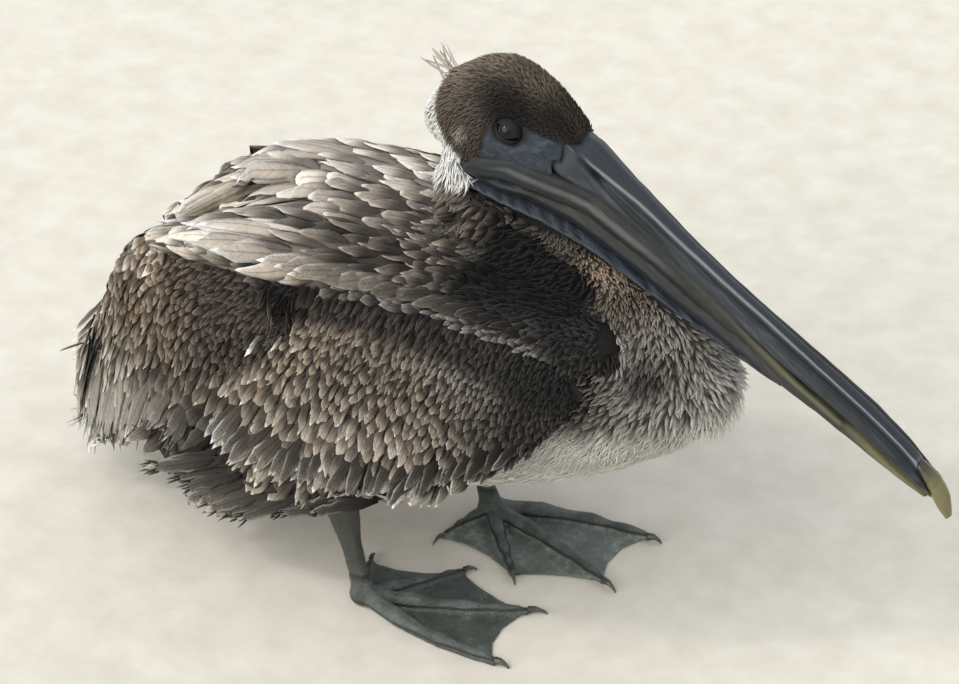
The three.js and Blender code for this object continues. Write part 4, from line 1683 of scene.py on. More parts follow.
WING_COATS = (  # part, region, form, finish, overlap, lift, soft, loose, size, slim
    ("shoulder", Region.ARM, Kind.SMALL, "wing", (0.3, 0.5), 0.06, 0.75, 0.16, (0, 15), 1.0),
    ("scapulars", Region.ARM, Kind.POINTED, "wing", (0.25, 0.52), 0.05, 0.7, 0.12, (15, 30), 1.0),
    ("large_scapulars", Region.ARM, Kind.POINTED, "wing", (0.4, 0.6), 0.05, 0.7, 0.1, (30, 999), 0.9),
    ("lesser", Region.FOREARM, Kind.SMALL, "wing", (0.3, 0.48), 0.06, 0.75, 0.16, (0, 15), 0.85),
    ("coverts", Region.FOREARM, Kind.POINTED, "wing", (0.3, 0.54), 0.05, 0.7, 0.1, (15, 25), 0.84),
    ("large_coverts", Region.FOREARM, Kind.POINTED, "wing", (0.38, 0.52), 0.04, 0.7, 0.08, (25, 999), 0.98),
    ("lobe_small", Region.TERTIALS, Kind.SMALL, "wing", (0.26, 0.48), 0.07, 0.75, 0.2, (0, 15), 0.78),
    ("lobe", Region.TERTIALS, Kind.POINTED, "wing", (0.28, 0.52), 0.05, 0.7, 0.14, (15, 24), 0.78),
    ("large_lobe", Region.TERTIALS, Kind.POINTED, "wing", (0.4, 0.56), 0.05, 0.7, 0.12, (24, 999), 0.92),
    ("hand", Region.HAND, Kind.POINTED, "long", (0.25, 0.6), 0.04, 0.7, 0.1, (0, 999), 1.0),
    ("tail_base", Region.TAIL, Kind.POINTED, "long", (0.25, 0.6), 0.04, 0.7, 0.1, (0, 999), 1.0),
)
COATS += [
    Coat("coat_" + part, region, kind, "wing_feathers", finish, *spread, size=size, slim=slim)
    for part, region, kind, finish, *spread, size, slim in WING_COATS
]

FINISHES = {
    "head": FeatherFinish("velvet_feathers", 0.85, 0.26, 0.4, 0.0, 0.45, 0.35),
    "breast": FeatherFinish("breast_feathers", 0.85, 0.2, 0.3, 0.0, 0.35, 0.3),
    "down": FeatherFinish("white_plumes", 0.9, 0.1, 0.2, 0.0, 0.12, 0.2),
    "wing": FeatherFinish("wing_feathers"),
    "long": FeatherFinish("long_feathers", root_shade=0.6, root=(0.0, 0.55)),
}


@dataclass(frozen=True)
class Row:
    """A row of long feathers laid one by one: roots and tips at a few keys along it. y is outwards."""

    name: str
    kind: Kind
    count: int
    width: tuple[float, float]  # half widths of the first and the last feather
    keys: tuple[tuple[Triple, Triple], ...]
    face: Triple  # which way the upper surface looks
    ground: tuple[str, str]
    fringe: tuple[str, str]
    pale: float = 0.8
    bow: float = 2.0  # how far the middle stands off the straight line
    frayed: int = 0  # loose strands at each tip
    jitter: float = 1.5
    laid: float = 0.0  # how closely the feathers lie to the skin; 0 keeps them straight
    sides: tuple[int, ...] = (-1, 1)
    bias: float = 1.0  # above 1, the first colours reach further along the row

    def colours(self, pair: tuple[str, str], share: Array, tone: Array) -> Array:
        """Each feather's colour between the row's ends, in its own tone."""
        return np.clip((paint(pair[0]) * (1 - share) + paint(pair[1]) * share) * tone, 0, BRIGHTEST)


ROWS = [
    Row(
        "secondaries", Kind.FLIGHT, 26, (3.8, 4.4),
        (((30, 98, 110), (-18, 95, 88)), ((8, 96, 102), (-40, 94, 76)), ((-14, 95, 98), (-66, 92, 62)),
         ((-44, 94, 84), (-96, 90, 46)), ((-74, 91, 84), (-126, 87, 50)), ((-102, 88, 94), (-156, 83, 66))),
        (0.0, 1.0, 0.35), ("1d1b19", "45413c"), ("7d7971", "b3aea5"), 0.9, 2.0, 4, 2.2, 0.0,
    ),
    Row(
        "greater_coverts", Kind.POINTED, 34, (3.2, 5.0),
        (((116, 98, 180), (106, 101, 156)), ((80, 101, 163), (66, 104, 133)),
         ((50, 102, 146), (36, 104, 111)), ((18, 100, 140), (0, 101, 102)), ((-14, 98, 135), (-36, 98, 96)),
         ((-54, 95, 130), (-80, 93, 90)), ((-84, 91, 142), (-114, 89, 102))),
        (0.0, 1.0, 0.3), ("1d1b19", "453f39"), ("8b877f", "dedad1"), 0.95, 2.0, 0, 3.0, 0.5,
    ),
    Row(
        "long_tertials", Kind.POINTED, 24, (4.6, 5.6),
        (((-128, 83, 126), (-144, 81, 84)), ((-158, 77, 120), (-170, 76, 70)),
         ((-186, 69, 112), (-194, 67, 46)), ((-212, 57, 104), (-220, 55, 38)),
         ((-226, 47, 100), (-233, 45, 44))),
        (-0.25, 1.0, 0.1), ("4b453f", "a59f95"), ("cbc6bc", "ffffff"), 0.95, 2.0, 3, 6.0, 0.6,
    ),
    Row(
        "inner_tertials", Kind.POINTED, 11, (5.5, 6.5),
        (((-222, 44, 112), (-236, 40, 48)), ((-232, 22, 112), (-247, 22, 44)),
         ((-235, 6, 116), (-250, 7, 52))),
        (-1.0, 0.35, 0.2), ("3c3834", "211f1d"), ("9c9287", "4a4540"), 0.7, 2.5, 3, 3.0,
    ),
    Row(
        "scapular_edge", Kind.POINTED, 22, (2.4, 6.4),
        (((116, 72, 242), (101, 79, 237)), ((90, 72, 247), (72, 80, 240)), ((66, 72, 249), (42, 81, 241)),
         ((34, 71, 250), (4, 82, 240)), ((6, 70, 249), (-34, 82, 233)), ((-22, 69, 248), (-72, 78, 227))),
        (0.0, 0.55, 0.85), ("1a1816", "7d7369"), ("4d4844", "f2eadf"), 0.95, 1.5, 0, 2.0, 0.7, bias=2.0,
    ),
    Row(
        "scapular_points", Kind.POINTED, 9, (6.2, 7.2),
        (((-40, 74, 243), (-88, 74, 217)), ((-62, 68, 243), (-118, 71, 218)),
         ((-80, 66, 240), (-142, 67, 220)), ((-64, 52, 249), (-126, 58, 232)),
         ((-50, 48, 251), (-108, 52, 242))),
        (-0.1, 0.35, 1.0), ("a3988b", "c9bfb2"), ("ffffff", "fffaf2"), 0.95, 2.5, 0, 2.5, 0.6, (-1,),
    ),
    Row(
        "left_scapulars", Kind.POINTED, 10, (6.4, 7.4),
        (((-70, 50, 247), (-132, 46, 228)), ((-92, 40, 242), (-156, 36, 214)),
         ((-98, 28, 240), (-160, 27, 202)), ((-84, 14, 244), (-148, 13, 214))),
        (-0.1, -0.2, 1.0), ("b5ab9f", "a89e92"), ("ffffff", "fffaf2"), 0.95, 2.5, 0, 2.5, 0.7, (1,),
    ),
    Row(
        "left_rear_scapulars", Kind.ROUND, 6, (5.4, 6.0),
        (((-138, 34, 216), (-186, 26, 180)), ((-150, 22, 210), (-202, 17, 180))),
        (-0.3, -0.2, 0.9), ("bdb3a6", "b3a99d"), ("f3ece2", "e9e2d8"), 0.95, 2.0, 0, 2.5, 0.7, (1,),
    ),
    Row(
        "rectrices", Kind.FLIGHT, 8, (9.0, 9.5),
        (((-176, 4, 124), (-246, 5, 37)), ((-176, 14, 122), (-245, 22, 37)),
         ((-174, 22, 120), (-238, 36, 40))),
        (-0.8, 0.1, 0.6), ("24211f", "2e2a27"), ("4d4843", "59534d"), 0.5, 1.5, 5,
    ),
    Row(
        "wing_points", Kind.FLIGHT, 4, (4.6, 5.2),
        (((-200, 20, 152), (-262, 14, 88)), ((-204, 12, 138), (-264, 9, 62))),
        (-0.7, 0.5, 0.5), ("3d3830", "6b6255"), ("efe4d2", "e6dccb"), 0.95, 2.0,
    ),
]


@dataclass
class Plumage:
    """All the coats, grown on the skin."""

    skin: Skin
    dice: np.random.Generator = field(default_factory=lambda: np.random.default_rng(SEED))
    clearance: float = 4.0  # a root with another part of the bird nearer in front of it stays bare

    def __post_init__(self) -> None:
        """Prepares the ground and the finishes."""
        self.plot = Plot(self.skin, self.dice)
        self.finishes = {key: finish.build() for key, finish in FINISHES.items()}

    def patch(self, gap: Array) -> Array:
        """The width of a feather's patch on the bake map: less than the distance to its neighbours."""
        return np.clip(gap * self.plot.scale * 0.8, TUFT_PATCH, WIDEST_PATCH)

    def build(self) -> None:
        """Makes every coat and row."""
        for coat in COATS:
            for side, form in self._scatter(coat):
                self._finish(f"{coat.name}_{side}", form, coat.slot, coat.finish)
        for row in ROWS:
            self._finish("row_" + row.name, self._row(row), "wing_feathers", "long")
        self._finish("nape_crest", self._crest(), "head_feathers", "down")
        self._finish("ruffled_tuft", self._tuft(), "wing_feathers", "wing")

    def _finish(self, name: str, form: Form, slot: str, finish: str) -> None:
        """Builds one coat piece and reports it.

        Args:
            name: the piece's name.
            form: its mesh.
            slot: not used.
            finish: the key of its finish.
        """
        form.build(name, self.finishes[finish], slot)
        triangles = sum(len(f) * (f.shape[1] - 2) for f in form.faces)
        LOG.info("%s: %d triangles", name, triangles)

    def _scatter(self, coat: Coat) -> list[tuple[str, Form]]:
        """Grows one scattered coat.

        Args:
            coat: the coat.

        Returns:
            Its right and its left piece, with the side's name.
        """
        sown = self.plot.sown(coat.region, coat.spacing, coat.wanted)
        lie, places, normals = sown.lie, sown.places, sown.normals
        chosen = (lie.hair >= coat.hair[0]) & (lie.hair < coat.hair[1])
        chosen &= (lie.length >= coat.size[0]) & (lie.length < coat.size[1])
        chosen &= np.abs((lie.way * normals).sum(axis=1)) < 0.9
        chosen &= self._seen(places, normals)
        strands = range(coat.strands) if coat.strands > 1 else (None,)
        pieces = []
        for name, half in (("right", places[:, 1] < 0), ("left", places[:, 1] >= 0)):
            rooted = sown[chosen & half]
            pieces.append((name, merged([self._grown(coat, rooted, strand) for strand in strands])))
        return pieces

    def _grown(self, coat: Coat, rooted: Rooted, strand: int | None) -> Form:
        """Grows one feather or one strand of a plume from each root.

        Args:
            coat: the coat that they belong to.
            rooted: the roots.
            strand: which strand of the plumes, or None for whole vanes.

        Returns:
            Their mesh.
        """
        places, lie = rooted.places, rooted.lie
        count = len(places)
        side = unit(np.cross(rooted.normals, lie.way))
        ways, half = lie.way, lie.width / 2 * coat.slim * self.dice.uniform(0.9, 1.12, count)
        if strand is not None:
            turn = (strand / (coat.strands - 1) - 0.5) * 0.8
            ways, half = ways + side * turn, lie.width * self.dice.uniform(0.1, 0.16, count)
            places = places + side * (lie.width * 0.45 * turn)[:, None]
        ways = unit(ways + coat.loose * self.dice.normal(size=(count, 3)))
        lengths = lie.length * self.dice.uniform(0.78, 1.15, count)
        lift = lengths * coat.lift * self.dice.uniform(0.4, 1.6, count)
        middle, up = self.plot.grown(coat.kind, places, rooted.normals, ways, lengths, lift, coat.soft)
        bend = (lengths * coat.curl * self.dice.normal(size=count))[:, None, None]
        middle = middle + side[:, None] * bend * coat.kind.stations() ** 2
        up = unit(up + coat.tilt * self.dice.normal(size=(count, 1, 3)))
        tone = (1 + 0.12 * self.dice.normal(size=count) + 0.1 * ripples(places, 35, 2))[:, None]
        ground = np.clip(lie.ground * tone, 0, BRIGHTEST)
        fringe = np.clip(lie.fringe * (0.5 + tone * 0.5), 0, BRIGHTEST)
        pale = np.clip(0.85 + 0.2 * self.dice.normal(size=count), 0.3, 1)
        patch = self.patch(rooted.gap)
        lines = Lines(middle, up, half, ground, fringe, pale, rooted.spots, patch)
        return vanes(coat.kind, lines, self.dice)

    def _seen(self, places: Array, normals: Array) -> Array:
        """Finds which roots are clear of the bird's other parts.

        Args:
            places: Where the feathers root, in millimetres.
            normals: The skin's normal at each root.

        Returns:
            True for each root with nothing close ahead of it.
        """
        pairs = zip((places + normals).tolist(), normals.tolist())
        ahead = [self.plot.tree.ray_cast(Vector(p), Vector(n), self.clearance) for p, n in pairs]
        return np.array([hit[0] is None for hit in ahead])

    def _row(self, row: Row) -> Form:
        """Lays one row on each of its sides.

        Args:
            row: the row.

        Returns:
            Its mesh.
        """
        forms = []
        keys = np.array(row.keys, float)
        place = np.linspace(0, len(keys) - 1, row.count)
        low = np.minimum(place.astype(int), len(keys) - 2)
        for side in row.sides:
            mirror = np.array((1.0, side, 1.0))
            ends = keys[low] + (place - low)[:, None, None] * (keys[low + 1] - keys[low])
            ends = (ends + row.jitter * self.dice.normal(size=ends.shape)) * mirror
            far = row.kind.stations()
            face = unit(np.array(row.face) * mirror)
            face = unit(face + 0.08 * self.dice.normal(size=(row.count, 3)))
            if row.laid:
                middle, up = self._laid(row, ends)
            else:
                middle = ends[:, :1] * (1 - far) + ends[:, 1:] * far
                middle = middle + face[:, None] * row.bow * np.sin(np.pi * far)
                lower = np.linspace(-0.7, 0.7, row.count)[:, None, None] * face[:, None]
                middle = self._above(middle + lower, face)
                up = np.repeat(face[:, None], far.shape[1], axis=1)
            share = (place / place[-1])[:, None] ** row.bias
            tone = 1 + 0.16 * self.dice.normal(size=(row.count, 1))
            looks = (row.colours(pair, share, tone) for pair in (row.ground, row.fringe))
            spots = self.plot.nearest_spot(middle[:, 0])
            half = np.linspace(*row.width, row.count) * self.dice.uniform(0.9, 1.1, row.count)
            same = (np.full(row.count, row.pale), spots, np.full(row.count, WIDEST_PATCH))
            lines = Lines(middle, up, half, *looks, *same)
            if row.laid:
                flat = np.abs((unit(ends[:, 1] - ends[:, 0]) * up[:, 0]).sum(axis=1)) < 0.85
                lines = lines[flat & (np.linalg.norm(middle[:, -1] - ends[:, 1], axis=1) < STRAYS)]
            forms.append(vanes(row.kind, lines, self.dice))
            if row.frayed:
                forms.append(self._fray(lines, row.frayed))
        return merged(forms)

    def _laid(self, row: Row, ends: Array) -> tuple[Array, Array]:
        """Walks a row's feathers over the skin.

        Args:
            row: the row.
            ends: each feather's root and tip.

        Returns:
            The places and upward directions at the stations.
        """
        tree = self.plot.tree
        hits = [tree.find_nearest(Vector(place)) for place in ends[:, 0]]
        roots = np.array([hit[0] for hit in hits])
        normals = np.array([hit[1] for hit in hits])
        reach = ends[:, 1] - roots
        lengths = np.linalg.norm(reach, axis=1)
        lift = lengths * self.dice.uniform(0.03, 0.1, len(roots)) + 0.8
        return self.plot.grown(row.kind, roots, normals, unit(reach), lengths, lift, row.laid)

    def _above(self, middle: Array, face: Array) -> Array:
        """Lifts feather lines out of the skin where they sink into it.

        Args:
            middle: the lines.
            face: the direction to lift each of them in.

        Returns:
            The lifted lines.
        """
        out = middle.copy()
        for i, line in enumerate(middle):
            for k, place in enumerate(line[1:], 1):
                ground, facing, _, away = self.plot.tree.find_nearest(Vector(place))
                under = 0.8 - (Vector(place) - ground).dot(facing)
                if under > 0 and away < 12:
                    out[i, k] = place + face[i] * min(under, 8.0)
        out[:, 1:-1] = (out[:, :-2] + 2 * out[:, 1:-1] + out[:, 2:]) / 4
        return out

    def _fray(self, lines: Lines, count: int) -> Form:
        """Loose barbs that stick out past the tips of long feathers.

        Args:
            lines: the feathers.
            count: how many barbs each of them has.

        Returns:
            The barbs' mesh.
        """
        stations = Kind.STRAND.stations()
        tip, width = lines.middle[:, -1], lines.width[:, None]
        along = unit(tip - lines.middle[:, -3])
        side = unit(np.cross(along, lines.up[:, -1]))
        up = np.repeat(lines.up[:, -1:], stations.shape[1], axis=1)
        rest = (np.full(len(along), 0.8), lines.ground, lines.fringe, lines.pale, lines.spot, lines.patch)
        forms = []
        for share in np.linspace(-1, 1, count):
            back = self.dice.uniform(1.6, 2.6, (len(along), 1)) * width
            root = tip - along * back + side * (width * 0.6 * share)
            reach = self.dice.uniform(2.2, 3.4, (len(along), 1)) * width
            way = unit(along + side * share * 0.12 + 0.06 * self.dice.normal(size=along.shape))
            middle = root[:, None] + (way * reach)[:, None] * stations
            forms.append(vanes(Kind.STRAND, Lines(middle, up, *rest), self.dice))
        return merged(forms)

    def _near(self, centre: Triple, reach: Triple, count: int) -> Array:
        """Places scattered in a box round a centre."""
        return np.array(centre) + self.dice.uniform(-1, 1, (count, 3)) * np.array(reach)

    def _crest(self) -> Form:
        """A few loose pale spikes that stand up from the back of the head.

        Returns:
            Their mesh.
        """
        count = 12
        near = self._near((12.0, 0.0, 358.0), (13.0, 8.0, 4.0), count)
        root = np.array([self.plot.tree.find_nearest(Vector(place))[0] for place in near])
        scatter = self.dice.normal(size=(count, 3)) * np.array((0.25, 0.3, 0.2))
        way = unit(np.array((-0.75, 0.0, 0.75)) + scatter)
        return self._spikes(root, way, self.dice.uniform(11, 21, count), 0.7, "d0c8bd", "6d635a")

    def _tuft(self) -> Form:
        """Ruffled hair-like feathers where the forearm meets the rear lobe, and a few white specks.

        Returns:
            Their mesh.
        """
        count = 22
        forms = []
        for side in (-1, 1):
            root = self._near((-52.0, 85.0 * side, 218.0), (10.0, 4.0, 8.0), count)
            way = unit(np.array((-0.1, 0.1 * side, -1.0)) + 0.2 * self.dice.normal(size=(count, 3)))
            forms.append(self._spikes(root, way, self.dice.uniform(12, 28, count), 1.2, "2c2520", "8d7c68"))
        root = np.array(((-60.0, -96.0, 196.0), (-63.0, -96.0, 190.0), (-42.0, -99.0, 203.0)))
        way = unit(np.array((-0.55, -0.08, -0.8)) + 0.08 * self.dice.normal(size=(3, 3)))
        forms.append(self._spikes(root, way, np.array((15.0, 13.0, 16.0)), 1.5, "e4e2de", "ffffff"))
        return merged(forms)

    def _spikes(self, root: Array, way: Array, length: Array, half: float, ground: str, fringe: str) -> Form:
        """Slender curved feathers.

        Args:
            root: their roots.
            way: their directions.
            length: their lengths.
            half: half their width.
            ground: their colour.
            fringe: the colour of their edges.

        Returns:
            Their mesh.
        """
        stations = Kind.POINTED.stations()
        sideways = unit(np.cross(way, self.dice.normal(size=way.shape)))
        bend = sideways[:, None] * (length * 0.12)[:, None, None] * stations**2
        middle = root[:, None] + way[:, None] * length[:, None, None] * stations + bend
        up = np.repeat(sideways[:, None], stations.shape[1], axis=1)
        count = len(root)
        tone = 1 + 0.2 * self.dice.normal(size=(count, 1))
        looks = (np.clip(paint(colour) * tone, 0, BRIGHTEST) for colour in (ground, fringe))
        same = (np.full(count, 0.8), self.plot.nearest_spot(root), np.full(count, TUFT_PATCH))
        return vanes(Kind.POINTED, Lines(middle, up, np.full(count, half), *looks, *same), self.dice)


# ---- Bill, pouch and nail ----


@dataclass
class Bill:
    """The two halves of the bill, the pouch and the nail, fine and grooved from the CAD's own shapes."""

    voxel: float = 0.9
    lower_tree: BVHTree | None = None  # the finished lower half, which shades the upper half

    def _surface(self, node: str, rounds: int) -> Surface:
        """A fine smooth copy of a CAD node."""
        return remeshed(*node_arrays(node), self.voxel).relaxed(rounds)

    def _finish(
        self, name: str, node: str, surface: Surface, finish: Material, slot: str, **masks: Array
    ) -> None:
        """Builds one piece in place of its node.

        Args:
            name: the piece's name.
            node: the CAD node.
            surface: the piece's surface.
            finish: its material.
            slot: not used.
            masks: the marks that its finish reads, held between -1 and 1.
        """
        s, _, n = head_axes(surface.points)
        held = {key: np.clip(mask, -1, 1) for key, mask in masks.items()}
        values = {"horn": np.column_stack((s, surface.points[:, 1], n)), "far": ease(270, 305, s), **held}
        surface.build(name, finish, slot, (node,), values)

    def _mouth(self, s: Array) -> Array:
        """The line where the two halves meet.

        Args:
            s: places along the bill.

        Returns:
            The line's height there, square to the bill.
        """
        stations = (-40, -28, -17, -3, 11, 20, 32, 47, 62, 84, 99, 115, 140, 158, 188, 218, 240, 290)
        heights = (-60, -50, -37, -31, -25, -21.5, -17.5, -15.3, -13.3, -10.4)
        heights += (-9, -8, -6.5, -5.8, -4.8, -1.5, 1.5, 2)
        return np.interp(s, stations, heights)

    def upper(self) -> None:
        """The upper half: a ridge that narrows forward between painted highlight lines, and a groove above
        the mouth.
        """
        surface = self._surface("bill_upper", 14)
        s, y, n = head_axes(surface.points)
        over = n - self._mouth(s)
        top = np.interp(s, (0, 45, 90, 130, 165, 200, 240, 290), (-4, -4, -3, 0, 4, 8, 12, 10))
        high = ease(-12, -5, n - top)
        ridge_half = np.interp(s, (0, 15, 50, 100, 145, 200, 270), (13.0, 12.0, 7.2, 4.9, 4.0, 4.7, 4.7))
        ridge = (1 - ease(ridge_half - 1.5, ridge_half + 0.8, y)) * high
        beside = bell(y - ridge_half, 1.4, 1.0) * high
        # painted highlight: a pale line along the ridge's edge
        crest = bell(y - ridge_half, -0.6, 0.8) * high
        low = np.interp(s, (0, 17, 34, 66, 91, 120), (11.5, 12.8, 13.0, 12.0, 11.5, 11.0))
        groove = bell(y, low, 1.0) * (1 - ease(85, 120, s)) * ease(-16, -12, n) * ease(0, 2.5, over)
        nostril = bell(s, 22, 5) * bell(y - low, -0.4, 1.1) * ease(-14, -12, n)
        edge = bell(over, 1.6, 1.2) * ease(6, 9, y)
        wear = ripples(surface.points * np.array((0.3, 1, 1)), 9, 11) * 0.12
        inside = ease(2, 12, s) * (1 - ease(283, 291, s))
        relief = 0.9 * ridge - 0.8 * beside - 1.4 * groove - 1.4 * nostril + 0.3 * edge + wear
        surface.pushed(relief * inside - 1.2 * (1 - ease(-2, 9, s)))
        # painted highlight: a pale spot on the midline just behind the nail
        knob_highlight = bell(s, 270, 5) * bell(y, 0, 4.5)
        band = bell(s, 280, 3.5) * ease(2, 8, over)
        lip = ease(235, 275, s) * (1 - ease(0, 6, over)) * 0.8 * (1 - band)
        # painted shade: darker where the upper half lies within about 2 mm of the lower half
        gap = np.array([self.lower_tree.find_nearest(Vector(place))[3] for place in surface.points])
        mouth = 1 - ease(0.6, 2.4, gap)
        # Pale marks are painted highlights. Dark ones are painted shade beside the ridge, in the groove and
        # the nostril and above the lower half, plus a dark band before the nail and a darker run towards the
        # tip.
        trace = 0.75 * crest + 0.6 * knob_highlight - 0.6 * beside - 0.9 * groove - nostril - 0.9 * mouth - 0.7 * band
        trace -= 0.4 * ease(120, 190, s) * (1 - ease(262, 276, s)) * (1 - crest)
        finish = HornFinish("upper_horn", "0f1418", "20262a", "505a62", "282e37").build()
        shade = np.maximum(ridge, 1 - ease(-2, 16, s))
        self._finish("upper_bill", "bill_upper", surface, finish, "bill", lip=lip, shade=shade, trace=trace)

    def lower(self) -> None:
        """The lower half: two long arms whose swollen upper edges hide the side of the upper half."""
        rim = np.array([
            (-35, 22.5, -61.5, 4.6), (-28, 23.4, -55.5, 5), (-17, 23.3, -42.5, 5.3), (-3, 20.6, -36, 5.5),
            (11, 17.2, -30, 5.5), (20, 14.8, -26.2, 5.3), (32, 12.9, -22.2, 5.3), (47, 11.9, -20.2, 5.3),
            (62, 11, -18.3, 5.3), (84, 9.9, -15.6, 5),
            (99, 9.7, -14.2, 4.9), (115, 10, -13.2, 4.7), (140, 10.6, -11.4, 4.4), (158, 11.4, -10.2, 3.9),
            (180, 11.7, -8.4, 3.2), (200, 11.8, -6.2, 2.6), (222, 11.4, -3.4, 2.2),
        ])
        drop = np.interp(rim[:, 0], (-35, -28, -17, 11, 47, 115, 158), (-6, -9, -10, -8, -6.5, -5, 0))
        side = np.interp(rim[:, 0], (-35, -3, 11, 47, 158), (-0.5, 0.3, 0.9, 1.2, 0))
        solid = node_arrays("bill_lower")
        for share in (0.0, 0.35, 0.7, 1.0):
            solid = with_beads(*solid, rim + np.column_stack((0 * drop, side, drop, 0 * drop - 0.6)) * share)
        surface = remeshed(*solid, self.voxel).relaxed(20)
        s, y, n = head_axes(surface.points)
        down = self._mouth(s) - n
        arm = bell(down, 13, 1.4) * ease(6, 9, y) * (1 - ease(120, 200, s))
        rise = bell(down, 2.0, 1.8) * ease(6, 9, y)
        wear = ripples(surface.points * np.array((0.3, 1, 1)), 9, 12) * 0.15
        surface.pushed(0.3 * rise - 0.25 * arm + wear)
        surface.points += ALONG * (5 * (1 - ease(-48, -30, s)))[:, None]
        blue_from = (-72, -58, -48, -42, -36, -31, -26, -21.5, -19, -16)
        blue = np.interp(s, (-30, -11, 15, 36, 49, 78, 106, 130, 165, 220), blue_from)
        lip = bell(down, 1.8, 1.7) * ease(80, 190, s) * ease(5, 8, y) * 0.7
        lip += ease(215, 255, s) * (1 - ease(3, 10, down)) * 0.8
        pale = 0.3 * bell(down, 8, 2.5) * ease(-30, -10, s) * (1 - ease(60, 110, s))
        # painted shade: the top edge of the lower half is darkened along the mouth line, under the upper
        # half
        pale -= 0.6 * (1 - ease(0.5, 6, down)) * (1 - ease(130, 190, s))
        shade = np.maximum(ease(-1, 2.5, blue - n), 0.75 * (1 - ease(-25, 25, s)))
        self.lower_tree = surface.tree()
        finish = HornFinish("lower_horn", "151617", "242524", "474641", "151b25", "6f6d4e", 0.48).build()
        self._finish("lower_bill", "bill_lower", surface, finish, "bill", lip=lip, shade=shade, trace=pale)

    def pouch(self) -> None:
        """The pouch, folded up into long pleats."""
        surface = self._surface("pouch", 10)
        n = head_axes(surface.points)[2]
        bends = 2.2 * ripples(surface.points * np.array((0.35, 1, 1)), 22, 14)
        surface.pushed(np.sin(n * 1.5 + bends) * 0.2)
        self._finish("throat_pouch", "pouch", surface, PouchFinish().build(), "pouch")

    def nail(self) -> None:
        """The hooked nail at the tip, ridged along its top."""
        surface = self._surface("bill_nail", 8)
        _, y, n = head_axes(surface.points)
        surface.pushed(0.5 * bell(y, 0, 1.6) * ease(-2, 6, n) + 0.1 * ripples(surface.points, 6, 15))
        finish = NailFinish("nail_horn", "33322a", "6f6b46").build()
        self._finish("hooked_nail", "bill_nail", surface, finish, "bill_nail")

    def build(self) -> None:
        """Makes all four pieces."""
        self.lower()
        self.upper()
        self.pouch()
        self.nail()


# ---- Eyes ----


